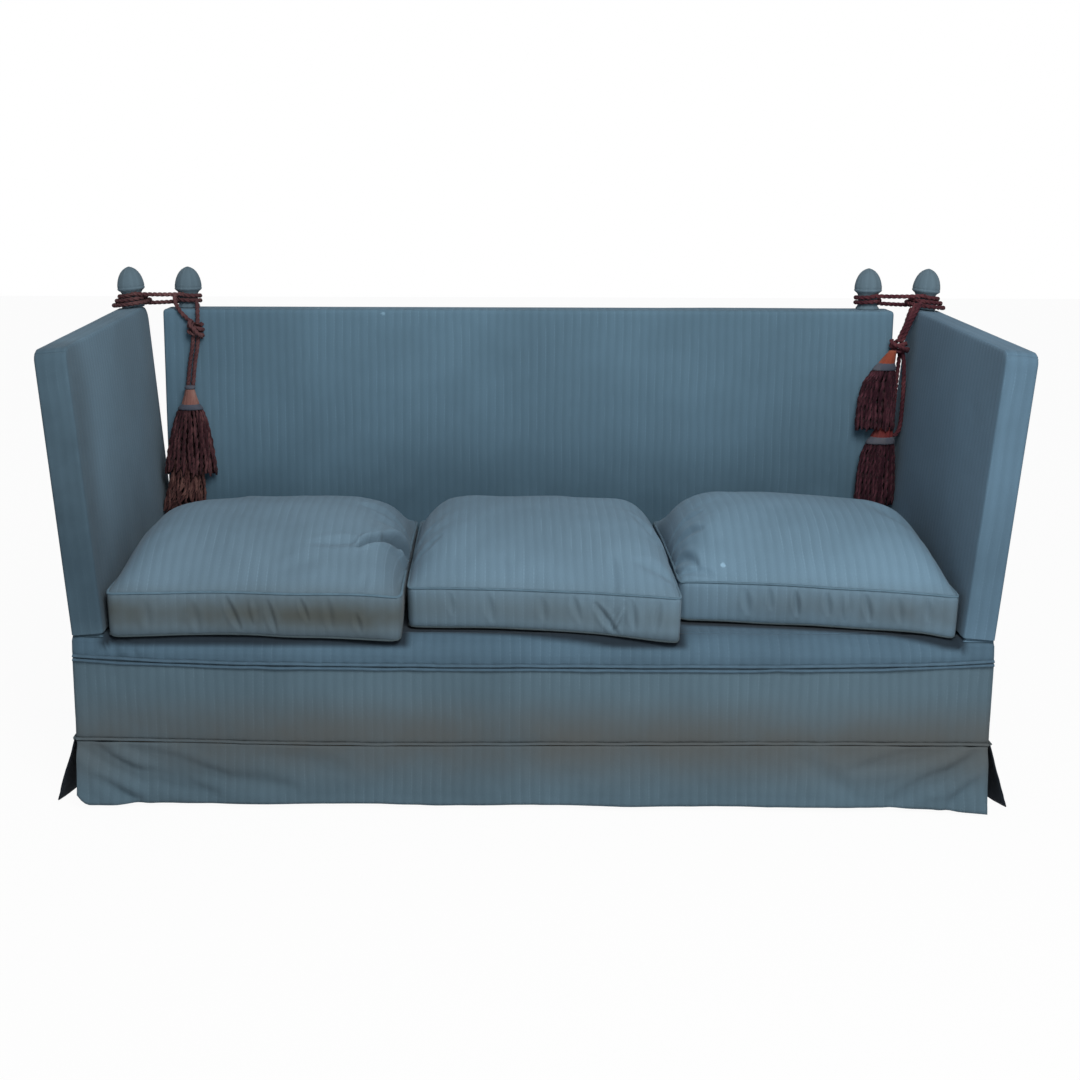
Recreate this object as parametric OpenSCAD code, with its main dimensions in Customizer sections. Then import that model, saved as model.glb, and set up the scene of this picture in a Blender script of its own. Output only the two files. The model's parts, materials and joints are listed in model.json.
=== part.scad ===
// Knole sofa: a deep upholstered sofa with two high arms that stand on hinges along the seat's
// sides. Rope looped round fabric-covered finials ties each arm to the fixed back.
// Millimetres, +Z up, front towards -Y, origin on the floor at the middle of the footprint.

/* [Seat] */
// Width across the side borders
seat_w = 1900; // [1860:10:1960]
// Depth from the front border to the outside back
seat_d = 780; // [770:5:820]
// Height of the hinge line that the arms stand on
deck_h = 370; // [365:1:390]
// Height of the welt that the skirt hangs from
skirt_top_h = 150; // [146:1:160]
// How far the welt under the seat's front lip lies below the hinge line
lip_drop = 48; // [42:1:52]
// Height of the frame rails' underside
leg_h = 130; // [126:1:136]
// Side of a square leg
leg_w = 60; // [50:2:66]
// Thickness of a seat rail
rail_t = 28; // [24:1:32]
// Thickness of cloth and wadding on borders, arms and back
cover_t = 4; // [3:0.5:5]

/* [Arms] */
// How much lower an arm's top is at the front than at the rear, where it meets the back's top
arm_fall = 16; // [4:1:28]
// Thickness of an arm
arm_t = 66; // [64:1:72]
// Angle that an arm leans out at rest
arm_lean = 5; // [4:0.5:6]
// Distance from an arm's outer face to its finial
arm_finial_in = 40; // [38:1:42]
// Distance from the rear face to an arm's finial
arm_finial_y_in = 40; // [36:1:44]

/* [Back] */
// Height of the back's top, and of the arms' where they meet it
back_h = 982; // [970:1:982]
// Thickness of the back
back_t = 85; // [82:1:92]
// Distance from the back's side to its finial
back_finial_in = 54; // [50:1:60]

/* [Finials] */
// Height of a finial above what it stands on
finial_h = 99; // [92:1:106]
// Radius of a finial's head
finial_head_r = 33; // [31:0.5:34]
// Radius of a finial's neck
finial_neck_r = 22.5; // [20:0.5:23]
// Radius of a finial's foot
finial_foot_r = 27; // [25:0.5:28]

/* [Cushions] */
// Height of a cushion's boxing from seam to seam
boxing_h = 88; // [80:1:94]
// Rise of the left cushion's crown above its top seam
left_crown = 126; // [110:2:136]
// Rise of the middle cushion's crown above its top seam
middle_crown = 124; // [110:2:136]
// Rise of the right cushion's crown above its top seam
right_crown = 136; // [110:2:140]
// How far a cushion's front is drawn in between its corners
draw_in = 18; // [6:1:24]

/* [Rope] */
// Diameter of the rope
rope_d = 11; // [10:0.5:11]

/* [Hidden] */

// Colours of the dusty blue cloth, the rope, the timber, the fillings and the metal
cloth_blue = [0.35, 0.44, 0.51];
cushion_blue = [0.41, 0.52, 0.59];
rope_plum = [0.45, 0.30, 0.30];
timber = [0.72, 0.56, 0.38];
jute = [0.66, 0.55, 0.38];
wadding = [0.85, 0.82, 0.74];
lining = [0.12, 0.12, 0.12];
brass = [0.72, 0.58, 0.30];
steel = [0.55, 0.56, 0.58];

// One overrun serves every cut, and one seat gap parts a soft piece from what it lies on
over = 5;
seat_gap = 0.3;
round_fn = 48;

// The seat's planes
half_w = seat_w / 2;
front_y = -seat_d / 2;
rear_y = seat_d / 2;
rail_out_x = half_w - cover_t;
rail_in_x = rail_out_x - rail_t;
rail_front_y = front_y + cover_t;
rail_rear_y = rear_y - cover_t;
front_rail_in_y = rail_front_y + rail_t;
lip_h = deck_h - lip_drop;

// Hinges: leaf, knuckle and pin
leaf_t = 2;
leaf_w = 38;
leaf_gap = 1;
knuckle_r = 5;
knuckle_relief = 0.8;
pin_r = 2.2;
pin_clear = 0.05;
hinge_len = 90;
knuckles = 5;
knuckle_gap = 0.4;
hinge_y_shares = [-0.33, 0, 0.33];
hinge_clear = leaf_gap / 2 + leaf_t;
screw_r = 2;
screw_head_r = 3.8;
screw_head_h = 1.8;
screw_len = 20;
screw_in = 25;
screw_pitch = 30;
screw_rows = [-1, 0, 1];

// Seat build-up under the deck
flange_t = 2;
border_top_z = deck_h - hinge_clear;
rail_top_z = border_top_z - flange_t;
pad_drop = 54;
hessian_t = 1.5;
hessian_z = rail_top_z - pad_drop - hessian_t;
deck_rise = 2;
deck_top_z = deck_h + deck_rise;
deck_side_gap = 1.5;
lip_d = 50;
lip_r = 20;

// Legs, glides and blocks
glide_h = 4;
glide_r = 15;
rail_h = rail_top_z - leg_h;
leg_lap_share = 0.42;
block_share = 0.25;
leg_lap = leg_lap_share * rail_h;
block_h = block_share * rail_h;
cross_w = 40;
cross_h = 50;
cross_x_share = 0.158;

// Webbing and springs
web_t = 2.5;
web_w = 50;
web_columns = 8;
web_rows = 3;
web_pitch = 200;
web_z = leg_h + cross_h;
spring_wire_r = 2;
spring_end_r = 38;
spring_waist_r = 24;
spring_turns = 3;
spring_steps = 6;
spring_sides = 4;

// The back's planes and frame
post_t = 45;
post_w = 70;
side_gap = 0.8;
back_half = half_w - arm_t - side_gap;
back_front_y = rear_y - back_t;
post_front_y = rail_rear_y - post_t;
back_rail_w = 60;
seat_back_rail_share = 0.722;
seat_back_rail_h = seat_back_rail_share * rail_h;
back_round = 22;
back_edge_round = 15;
back_web_w = 60;
back_web_columns = 9;
back_web_rows = 3;

// The arm's heights above its hinge line, its frame and its padding, in the arm standing upright
arm_rear_h = back_h - deck_h;
arm_front_h = arm_rear_h - arm_fall;
arm_frame_t = 36;
arm_frame_in = 12;
arm_rail_w = 60;
arm_front_stile_w = 60;
arm_rear_stile_w = 76;
arm_mid_stile_w = 50;
arm_round = 14;
arm_front_round = 25;
arm_rear_round = 40;
arm_bottom_z = deck_h + hinge_clear;
arm_in_x = half_w - arm_t;
arm_frame_out_x = arm_in_x + arm_frame_in + arm_frame_t;

// Finial and its tenon
finial_lip_share = 0.48;
neck_low_share = 0.1;
neck_high_share = 0.31;
tenon_r = 8;
tenon_len = 45;
dome_steps = 8;

// Skirt and welts
welt_r = 4;
hem_gap = 8;
skirt_t = 3;
skirt_off = 2;
skirt_flare = 6;
skirt_wave = 4;
skirt_waves = 9;
side_flare = 38;
side_flare_run = 170;
pleat_t = 2.5;
pleat_w = 90;
skirt_columns = 48;
side_columns = 20;
skirt_rows = 3;
dust_t = 1.5;
outside_t = cover_t;

// Cushion lanes from the left arm to the right arm, as shares of the room between the arms
lane_shares = [0, 0.351, 0.676, 1];
lane_gap = 1;
cushion_room = 2 * (arm_in_x - deck_side_gap);
cushion_rear_gap = 2;
cushion_rear_y = back_front_y - cushion_rear_gap;
// Front edges at a cushion's left and right end, as shares of the seat's depth from its middle
left_front_shares = [-0.495, -0.515];
middle_front_shares = [-0.425, -0.515];
right_front_shares = [-0.345, -0.485];
cushion_bottom_z = deck_top_z + seat_gap;
cushion_points = 40;
cushion_corner = 8;
cushion_foot_share = 0.9;
seam_rise_share = 0.1;
boxing_in_share = 0.985;
crown_power = 3.2;
crown_side_power = 8;
crown_ring_shares = [0.97, 0.91, 0.82, 0.68, 0.5, 0.3, 0.12];
rear_fall_share = 0.35;
side_draw_share = 0.012;
corner_dent_r = 180;

// Rope, its windings, knots and tassels
rope_r = rope_d / 2;
rope_gap = 0.5;
winding_sides = 6;
winding_steps = 24;
arm_turns = 2.5;
back_turns = 1.5;
arm_loop_low = [48, 5.8];
arm_loop_high = [28.3, 31.2];
back_loop_low = [28.3, 13.6];
back_loop_high = [28.3, 31];
loop_lift = 3;
lift_gap = 2.4;
cord_sides = 8;
knot_r = 13;

// Routes of the hanging rope, in the sofa's own frame
left_v_route = [[-857, 326, 1012], [-853, 313, 1000], [-846, 302, 988], [-836, 297, 974],
    [-822, 296, 960], [-806, 292, 946]];
left_v2_route = [[-805, 335, 1000], [-800, 318, 992], [-798, 305, 984], [-797, 298, 974],
    [-797, 297, 960], [-797, 292, 946]];
left_strand_route = [[-807, 291, 924], [-811, 291, 890], [-818, 291, 850], [-824, 291, 798]];
left_strand2_route = [[-795, 291, 924], [-799, 291, 890], [-806, 291, 850], [-812, 291, 798]];
left_knot_at = [-801, 290, 935];
right_drop_route = [[946, 309, 1003], [940, 299, 996], [930, 292, 980], [918, 290, 955],
    [908, 290, 930], [900, 290, 910]];
right_drop2_route = [[934, 318, 995], [929, 306, 988], [918, 292, 970], [905, 290, 945],
    [896, 290, 924], [891, 290, 911]];
right_knot_at = [894, 290, 899];
right_low_route = [[903, 290, 890], [908, 289, 850], [909, 287, 790], [907, 286, 730],
    [905, 285, 708], [901, 283, 694], [893, 281, 684], [882, 279, 682]];
// Places along a tassel: x, y, z, half width, half depth, from the bottom up
left_high_tassel = [[-820, 274, 580, 62, 28], [-820, 276, 612, 57, 26], [-819, 279, 660, 42, 23],
    [-818, 281, 700, 25, 19], [-818, 282, 733, 14, 14], [-818, 282, 745, 18, 18],
    [-818, 282, 752, 20, 20], [-818, 282, 776, 20, 20], [-818, 282, 788, 16, 16],
    [-818, 282, 797.7, 13, 13]];
left_low_tassel = [[-828, 274, 484, 53, 25], [-828, 274, 510, 46, 24], [-826, 275, 545, 30, 20],
    [-824, 276, 579.7, 18, 16]];
right_high_tassel = [[848, 274, 696, 50, 28], [850, 276, 728, 44, 26], [853, 279, 775, 31, 22],
    [856, 281, 815, 19, 17], [860, 282, 842, 13, 13], [863, 282, 852, 18, 18],
    [868, 282, 862, 20, 20], [873, 282, 876, 19, 19], [877, 282, 886, 14, 14],
    [879, 282, 891, 9, 9]];
right_low_tassel = [[846, 274, 510, 46, 25], [848, 274, 540, 41, 24], [852, 275, 590, 29, 20],
    [857, 277, 640, 17, 16], [861, 278, 668, 12, 12], [864, 278, 676, 15, 14],
    [866, 278, 688, 14, 13], [868, 278, 695.7, 8, 8]];
tassel_sides = 16;

// Points on an arc in a plane
function arc(c, r, a0, a1, steps) =
    [for (i = [0:steps]) let (a = a0 + (a1 - a0) * i / steps) c + r * [cos(a), sin(a)]];
function unit(v) = v / norm(v);
function flat(l) = [for (a = l) for (b = a) b];

// A closed skin over rings of n points, each ring counter-clockwise seen from the last ring. The
// end faces fan out from the first point, or for a slab run in strips from side to side.
function fan(n, a, flip) =
    [for (i = [1:n - 2]) flip ? [a, a + i + 1, a + i] : [a, a + i, a + i + 1]];
function strips(n, a, flip) =
    flat([for (i = [0:n / 2 - 2]) let (p = a + i, q = a + n - 1 - i)
        flip ? [[p, q - 1, p + 1], [p, q, q - 1]] : [[p, p + 1, q - 1], [p, q - 1, q]]]);
module skin(rings, n, slab = false) {
    top = (len(rings) - 1) * n;
    walls = flat([for (j = [0:len(rings) - 2]) for (i = [0:n - 1])
        let (a = j * n + i, b = j * n + (i + 1) % n)
        [[a, a + n, b + n], [a, b + n, b]]]);
    polyhedron(points = flat(rings), faces = concat(walls,
        slab ? strips(n, 0, false) : fan(n, 0, false),
        slab ? strips(n, top, true) : fan(n, top, true)));
}

// Rings of a tube along a route, square to it, with one direction to measure their turn from
function route_tangent(p, i) =
    unit(i == 0 ? p[1] - p[0] : i == len(p) - 1 ? p[i] - p[i - 1] : p[i + 1] - p[i - 1]);
function tube_ring(p, i, r, n, ref) =
    let (t = route_tangent(p, i), u = unit(cross(ref, t)), v = cross(t, u))
    [for (k = [0:n - 1]) p[i] + r * (cos(k * 360 / n) * u + sin(k * 360 / n) * v)];
module tube(p, r, n, ref) {
    skin([for (i = [0:len(p) - 1]) tube_ring(p, i, r, n, ref)], n);
}

// A winding round a finial at c: a coil that climbs from low to high, each a radius and a
// height, clockwise from its rear, with both ends run straight towards the other finial
function winding_route(c, low, high, turns, tail) =
    let (steps = round(turns * winding_steps))
    concat(
        [[c[0] + tail * rope_d, c[1] + low[0], c[2] + low[1]]],
        [for (i = [0:steps])
            let (s = i / steps, a = 90 + sign(tail) * 360 * turns * s,
                r = low[0] + (high[0] - low[0]) * s)
            [c[0] + r * cos(a), c[1] + r * sin(a), c[2] + low[1] + (high[1] - low[1]) * s]],
        [[c[0] + tail * rope_d, c[1] - high[0], c[2] + high[1] + loop_lift]]);
// Least distance between points of a winding that are more than half a turn apart
function least_gap(p) =
    min([for (i = [0:len(p) - 1]) for (j = [i + 1:len(p) - 1])
        if (j - i > winding_steps / 2) norm(p[i] - p[j])]) - rope_d;

// Left and right copies, and the arm's lean about its hinge line
module on_side(side) {
    mirror([side < 0 ? 1 : 0, 0, 0]) children();
}
module arm_pose(side) {
    on_side(side)
        translate([half_w, 0, deck_h]) rotate([0, arm_lean, 0]) translate([-half_w, 0, -deck_h])
            children();
}
// A solid between two corners
module block(lo, hi) {
    translate(lo) cube(hi - lo);
}

// Hinge parts, drawn for the right side along the hinge line
module hinge_places() {
    for (s = hinge_y_shares) translate([half_w, s * seat_d, deck_h]) children();
}
module along_y(length) {
    translate([0, length / 2, 0]) rotate([90, 0, 0]) linear_extrude(length) children();
}
module hinge_relief() {
    hinge_places() along_y(hinge_len + knuckle_gap * 2)
        circle(knuckle_r + knuckle_relief, $fn = round_fn);
}
module leaf(up) {
    pitch = hinge_len / knuckles;
    first = up > 0 ? 1 : 0;
    low = up > 0 ? leaf_gap / 2 : -leaf_gap / 2 - leaf_t;
    difference() {
        union() {
            difference() {
                block([-leaf_w, -hinge_len / 2, low], [0, hinge_len / 2, low + leaf_t]);
                along_y(hinge_len + over) circle(knuckle_r + knuckle_relief, $fn = round_fn);
            }
            for (k = [first:2:knuckles - 1])
                translate([0, -hinge_len / 2 + (k + 0.5) * pitch, 0]) {
                    along_y(pitch - knuckle_gap) circle(knuckle_r, $fn = round_fn);
                    block([-knuckle_r * 2, -(pitch - knuckle_gap) / 2, low],
                        [-knuckle_r / 2, (pitch - knuckle_gap) / 2, low + leaf_t]);
                }
        }
        along_y(hinge_len + over) circle(pin_r + pin_clear, $fn = round_fn);
        screws(up);
    }
}
module screws(up) {
    for (k = screw_rows)
        translate([-screw_in, k * screw_pitch, up * leaf_gap / 2]) mirror([0, 0, up > 0 ? 0 : 1]) {
            cylinder(h = screw_head_h, r1 = screw_head_r, r2 = screw_r, $fn = round_fn);
            cylinder(h = screw_len, r = screw_r, $fn = round_fn);
        }
}
module base_hinge_leaves() {
    color(brass) for (side = [-1, 1]) on_side(side) hinge_places() leaf(-1);
}
module hinge_pins() {
    color(steel) for (side = [-1, 1]) on_side(side) hinge_places() along_y(hinge_len)
        circle(pin_r, $fn = round_fn);
}
module base_hinge_screws() {
    color(steel) for (side = [-1, 1]) on_side(side) hinge_places() screws(-1);
}
module arm_hinge_leaves(side) {
    color(brass) arm_pose(side) hinge_places() leaf(1);
}
module arm_screws(side) {
    color(steel) arm_pose(side) hinge_places() screws(1);
}

// Seat frame
module front_rail() {
    color(timber) block([-rail_in_x, rail_front_y, leg_h], [rail_in_x, front_rail_in_y, lip_h]);
}
module back_rail() {
    inner = back_half - cover_t - post_w;
    color(timber) block([-inner, post_front_y, leg_h], [inner, rail_rear_y, leg_h + seat_back_rail_h]);
}
module side_rail(side) {
    color(timber) on_side(side) difference() {
        block([rail_in_x, rail_front_y, leg_h], [rail_out_x, rail_rear_y, rail_top_z]);
        block([rail_in_x - over, rail_front_y - over, lip_h],
            [rail_out_x + over, front_rail_in_y, rail_top_z + over]);
        hinge_places() screws(-1);
    }
}
module cross_rails() {
    x = cross_x_share * seat_w;
    color(timber) for (side = [-1, 1]) block([side * x - cross_w / 2, front_rail_in_y, leg_h],
        [side * x + cross_w / 2, post_front_y, web_z]);
}
module leg_places() {
    for (side = [-1, 1]) {
        translate([side * (rail_in_x - leg_w / 2), front_rail_in_y + leg_w / 2, 0]) children();
        translate([side * (rail_in_x - leg_w / 2), post_front_y - leg_w / 2, 0]) children();
    }
    translate([0, front_rail_in_y + leg_w / 2, 0]) children();
    translate([0, post_front_y - leg_w / 2, 0]) children();
}
module legs() {
    color(timber) leg_places()
        block([-leg_w / 2, -leg_w / 2, glide_h], [leg_w / 2, leg_w / 2, leg_h + leg_lap]);
}
module glides() {
    color(steel) leg_places() cylinder(h = glide_h, r = glide_r, $fn = round_fn);
}
module corner_blocks() {
    post_out = back_half - cover_t;
    color(timber) for (side = [-1, 1]) on_side(side) {
        block([post_out, post_front_y, leg_h], [rail_in_x, rail_rear_y, rail_top_z]);
        translate([rail_in_x, front_rail_in_y, leg_h + leg_lap]) linear_extrude(block_h)
            polygon([[0, 0], [-leg_w, 0], [0, leg_w]]);
    }
}
module seat_webbing() {
    color(jute) {
        for (i = [0:web_columns - 1]) {
            x = (i - (web_columns - 1) / 2) * web_pitch;
            block([x - web_w / 2, front_rail_in_y, web_z], [x + web_w / 2, post_front_y, web_z + web_t]);
        }
        for (j = [0:web_rows - 1]) {
            y = (j - (web_rows - 1) / 2) * web_pitch;
            block([-rail_in_x, y - web_w / 2, web_z], [rail_in_x, y + web_w / 2, web_z + web_t]);
        }
    }
}
module seat_springs() {
    low = web_z + web_t + spring_wire_r + seat_gap;
    high = hessian_z - spring_wire_r - seat_gap;
    steps = spring_turns * spring_steps;
    coil = [for (i = [0:steps]) let (s = i / steps, a = 360 * i / spring_steps,
        r = spring_waist_r + (spring_end_r - spring_waist_r) * pow(2 * s - 1, 2))
        [r * cos(a), r * sin(a), low + (high - low) * s]];
    color(steel) for (i = [0:web_columns - 1]) for (j = [0:web_rows - 1])
        translate([(i - (web_columns - 1) / 2) * web_pitch, (j - (web_rows - 1) / 2) * web_pitch, 0])
            tube(coil, spring_wire_r, spring_sides, [0, 0, 1]);
}
module seat_hessian() {
    color(jute) block([-rail_in_x, front_rail_in_y, hessian_z],
        [rail_in_x, post_front_y, hessian_z + hessian_t]);
}
module deck_pad() {
    color(wadding) block([-rail_in_x, front_y + lip_d, hessian_z + hessian_t],
        [rail_in_x, post_front_y, rail_top_z]);
}
module deck_cover() {
    side = arm_in_x - deck_side_gap;
    color(cloth_blue) block([-side, front_y + lip_d, rail_top_z], [side, back_front_y, deck_top_z]);
}
module front_lip() {
    outline = concat([[front_y, lip_h]],
        arc([front_y + lip_r, border_top_z - lip_r], lip_r, 180, 90, 6),
        [[front_y + lip_d, border_top_z], [front_y + lip_d, lip_h]]);
    color(cloth_blue) difference() {
        translate([-half_w, 0, 0]) rotate([90, 0, 90]) linear_extrude(seat_w) polygon(outline);
        for (side = [-1, 1]) on_side(side)
            block([rail_in_x, front_rail_in_y, lip_h - over],
                [rail_out_x, front_y + lip_d + over, rail_top_z]);
    }
}

// Borders, welts and dust cover
module front_border() {
    color(cloth_blue) block([-half_w, front_y, skirt_top_h], [half_w, rail_front_y, lip_h]);
}
module side_border(side) {
    color(cloth_blue) on_side(side) difference() {
        union() {
            block([rail_out_x, rail_front_y, skirt_top_h], [half_w, rail_rear_y, lip_h]);
            block([rail_out_x, front_y + lip_d, lip_h], [half_w, rail_rear_y, border_top_z]);
            block([arm_in_x, front_y + lip_d, rail_top_z], [half_w, rail_rear_y, border_top_z]);
        }
        hinge_relief();
        hinge_places() screws(-1);
    }
}
module back_border() {
    color(cloth_blue) block([-half_w, rail_rear_y, skirt_top_h], [half_w, rear_y, border_top_z]);
}
module rod_x(length) {
    translate([-length / 2, 0, 0]) rotate([90, 0, 90]) linear_extrude(length)
        circle(welt_r, $fn = round_fn / 2);
}
module welts() {
    color(cloth_blue) {
        for (z = [lip_h - welt_r, lip_h + welt_r]) translate([0, front_y - welt_r, z]) rod_x(seat_w);
        for (y = [front_y - welt_r, rear_y + welt_r]) translate([0, y, skirt_top_h]) rod_x(seat_w);
        for (side = [-1, 1]) translate([side * (half_w + welt_r), 0, skirt_top_h])
            along_y(seat_d) circle(welt_r, $fn = round_fn / 2);
    }
}
module dust_cover() {
    color(lining) difference() {
        block([-rail_out_x, rail_front_y, leg_h - dust_t], [rail_out_x, rail_rear_y, leg_h]);
        leg_places() block([-leg_w / 2, -leg_w / 2, leg_h - over], [leg_w / 2, leg_w / 2, leg_h + over]);
    }
}

// Skirt: a panel of cloth in shallow folds, drawn along X with its outside towards -Y
function panel_row(run, columns, s, face, corner, wave) =
    [for (i = [0:columns])
        let (x = -run / 2 + run * i / columns,
            near = max(0, 1 - (x + run / 2) / side_flare_run),
            fold = skirt_wave * (1 - cos(360 * wave * i / columns)) / 2)
        [x, -skirt_off - s * (skirt_flare + fold + corner * near * near) + face * skirt_t / 2,
            skirt_top_h - welt_r - s * (skirt_top_h - welt_r - hem_gap)]];
module skirt_panel(run, columns, corner, wave) {
    skin([for (i = [0:columns]) concat(
        [for (j = [0:skirt_rows])
            panel_row(run, columns, j / skirt_rows, -1, corner, wave)[i]],
        [for (j = [skirt_rows:-1:0])
            panel_row(run, columns, j / skirt_rows, 1, corner, wave)[i]])],
        2 * (skirt_rows + 1), true);
}
module front_skirt() {
    color(cloth_blue) translate([0, front_y, 0]) skirt_panel(seat_w, skirt_columns, 0, skirt_waves);
}
module back_skirt() {
    color(cloth_blue) rotate([0, 0, 180]) translate([0, front_y, 0])
        skirt_panel(seat_w, skirt_columns, 0, skirt_waves);
}
module side_skirt(side) {
    color(cloth_blue) on_side(side) translate([half_w, 0, 0]) rotate([0, 0, 90])
        skirt_panel(seat_d, side_columns, side_flare, skirt_waves / 3);
}
module corner_pleats() {
    color(cloth_blue) for (side = [-1, 1]) on_side(side) for (end = [0, 1]) mirror([0, end, 0]) {
        block([half_w - pleat_w, front_y, hem_gap], [half_w, front_y + pleat_t, skirt_top_h]);
        block([half_w - pleat_t, front_y + pleat_t, hem_gap],
            [half_w, front_y + pleat_w, skirt_top_h]);
    }
}

// Back
module back_outline(inset) {
    w = back_half - inset;
    top = back_h - inset;
    r = back_round - inset;
    polygon(concat([[-w, leg_h - over], [w, leg_h - over]],
        arc([w - r, top - r], r, 0, 90, 6), arc([-w + r, top - r], r, 90, 180, 6)));
}
module back_solid(inset, rear) {
    r = back_edge_round - inset;
    top = back_h - inset;
    front = back_front_y + inset;
    intersection() {
        translate([0, rear, 0]) rotate([90, 0, 0]) linear_extrude(rear - front) back_outline(inset);
        translate([-half_w, 0, 0]) rotate([90, 0, 90]) linear_extrude(seat_w)
            polygon(concat([[rear, leg_h - over], [rear, top]],
                arc([front + r, top - r], r, 90, 180, 6), [[front, leg_h - over]]));
    }
}
module back_posts() {
    x = back_half - cover_t;
    color(timber) for (side = [-1, 1]) on_side(side) difference() {
        intersection() {
            block([x - post_w, post_front_y, leg_h], [x, rail_rear_y, back_h]);
            back_solid(cover_t, rail_rear_y);
        }
        back_tenon_hole();
    }
}
module back_finial_at() {
    translate([back_half - back_finial_in, rear_y - finial_foot_r - cover_t, back_h]) children();
}
module back_tenon_hole() {
    back_finial_at() translate([0, 0, -tenon_len - seat_gap])
        cylinder(h = tenon_len + over, r = tenon_r + pin_clear, $fn = round_fn);
}
module back_rails() {
    x = back_half - cover_t - post_w;
    color(timber) {
        block([-x, post_front_y, back_h - cover_t - back_rail_w], [x, rail_rear_y, back_h - cover_t]);
        block([-x, post_front_y, border_top_z], [x, rail_rear_y, border_top_z + back_rail_w]);
        block([-back_rail_w / 2, post_front_y, border_top_z + back_rail_w],
            [back_rail_w / 2, rail_rear_y, back_h - cover_t - back_rail_w]);
        block([-back_rail_w / 2, post_front_y, leg_h + seat_back_rail_h],
            [back_rail_w / 2, rail_rear_y, border_top_z]);
    }
}
module back_webbing() {
    x = back_half - cover_t - post_w / 2;
    low = border_top_z + back_rail_w / 2;
    high = back_h - cover_t - back_rail_w / 2;
    color(jute) {
        for (i = [1:back_web_columns]) {
            at = -x + 2 * x * i / (back_web_columns + 1);
            block([at - back_web_w / 2, post_front_y - web_t, low],
                [at + back_web_w / 2, post_front_y, high]);
        }
        for (j = [1:back_web_rows]) {
            at = low + (high - low) * j / (back_web_rows + 1);
            block([-x, post_front_y - web_t, at - back_web_w / 2],
                [x, post_front_y, at + back_web_w / 2]);
        }
    }
}
module back_padding() {
    color(wadding) intersection() {
        block([-half_w, back_front_y, deck_top_z], [half_w, post_front_y - web_t, back_h]);
        back_solid(cover_t, post_front_y - web_t);
    }
}
module back_cover() {
    color(cloth_blue) difference() {
        intersection() {
            back_solid(0, rail_rear_y);
            block([-half_w, back_front_y, deck_top_z + seat_gap], [half_w, rail_rear_y, back_h]);
        }
        back_solid(cover_t, rail_rear_y + over);
        for (side = [-1, 1]) on_side(side) back_tenon_hole();
    }
}
module outside_back() {
    color(cloth_blue) intersection() {
        translate([0, rear_y, 0]) rotate([90, 0, 0]) linear_extrude(outside_t) back_outline(0);
        block([-half_w, rail_rear_y, border_top_z], [half_w, rear_y, back_h]);
    }
}

// Finial: a turned acorn on a tenon, covered in the sofa's cloth
module finial() {
    lip_z = finial_h * finial_lip_share;
    low_z = finial_h * neck_low_share;
    high_z = finial_h * neck_high_share;
    rise = lip_z - high_z;
    swell = finial_head_r - finial_neck_r;
    rotate_extrude($fn = round_fn) polygon(concat(
        [[0, -tenon_len], [tenon_r, -tenon_len], [tenon_r, 0], [finial_foot_r, 0],
            [finial_foot_r, low_z / 2], [finial_neck_r, low_z]],
        [for (i = [0:4]) [finial_neck_r + swell * (1 - cos(45 * i)) / 2, high_z + rise * i / 4]],
        [for (i = [1:dome_steps]) let (a = 90 * i / dome_steps)
            [finial_head_r * cos(a), lip_z + (finial_h - lip_z) * sin(a)]]));
}
module back_finial(side) {
    color(cloth_blue) on_side(side) back_finial_at() finial();
}

// Arm, drawn standing upright on the right side and then leaned out
function arm_top_z(y, inset) =
    deck_h + arm_front_h + (arm_rear_h - arm_front_h) * (y - front_y) / seat_d - inset;
module arm_solid(inset, low) {
    r = arm_round - inset;
    fr = arm_front_round - inset;
    rr = arm_rear_round - inset;
    front = front_y + inset;
    rear = rear_y - inset;
    high = deck_h + arm_rear_h - inset;
    intersection() {
        translate([0, rear, 0]) rotate([90, 0, 0]) linear_extrude(rear - front)
            polygon(concat([[arm_in_x + inset, low], [half_w - inset, low]],
                arc([half_w - inset - r, high - r], r, 0, 90, 5),
                arc([arm_in_x + inset + r, high - r], r, 90, 180, 5)));
        translate([arm_in_x - over, 0, 0]) rotate([90, 0, 90]) linear_extrude(arm_t + 2 * over)
            polygon(concat([[front, low]],
                arc([front + fr, arm_top_z(front + fr, inset) - fr], fr, 180, 90, 6),
                arc([rear - rr, arm_top_z(rear - rr, inset) - rr], rr, 90, 0, 6), [[rear, low]]));
    }
}
module arm_finial_at() {
    y = rear_y - arm_finial_y_in;
    translate([half_w - arm_finial_in, y, arm_top_z(y, 0)]) children();
}
module arm_tenon_hole() {
    arm_finial_at() translate([0, 0, -tenon_len - seat_gap])
        cylinder(h = tenon_len + over, r = tenon_r + pin_clear, $fn = round_fn);
}
module arm_cover(side) {
    color(cloth_blue) arm_pose(side) difference() {
        arm_solid(0, arm_bottom_z);
        arm_solid(cover_t, arm_bottom_z - over);
        hinge_relief();
        arm_tenon_hole();
    }
}
module arm_frame_slab() {
    intersection() {
        block([arm_in_x + arm_frame_in, rail_front_y, arm_bottom_z],
            [arm_frame_out_x, rail_rear_y, deck_h + arm_rear_h]);
        arm_solid(cover_t, arm_bottom_z);
    }
}
module arm_rails(side) {
    y0 = rail_front_y + arm_front_stile_w;
    y1 = rail_rear_y - arm_rear_stile_w;
    color(timber) arm_pose(side) {
        difference() {
            block([arm_in_x + arm_frame_in, rail_front_y, arm_bottom_z],
                [arm_frame_out_x, rail_rear_y, arm_bottom_z + arm_rail_w]);
            hinge_places() screws(1);
        }
        intersection() {
            arm_frame_slab();
            block([arm_in_x, y0, arm_top_z(y0, cover_t) - arm_rail_w],
                [half_w, y1, deck_h + arm_rear_h]);
        }
    }
}
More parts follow.
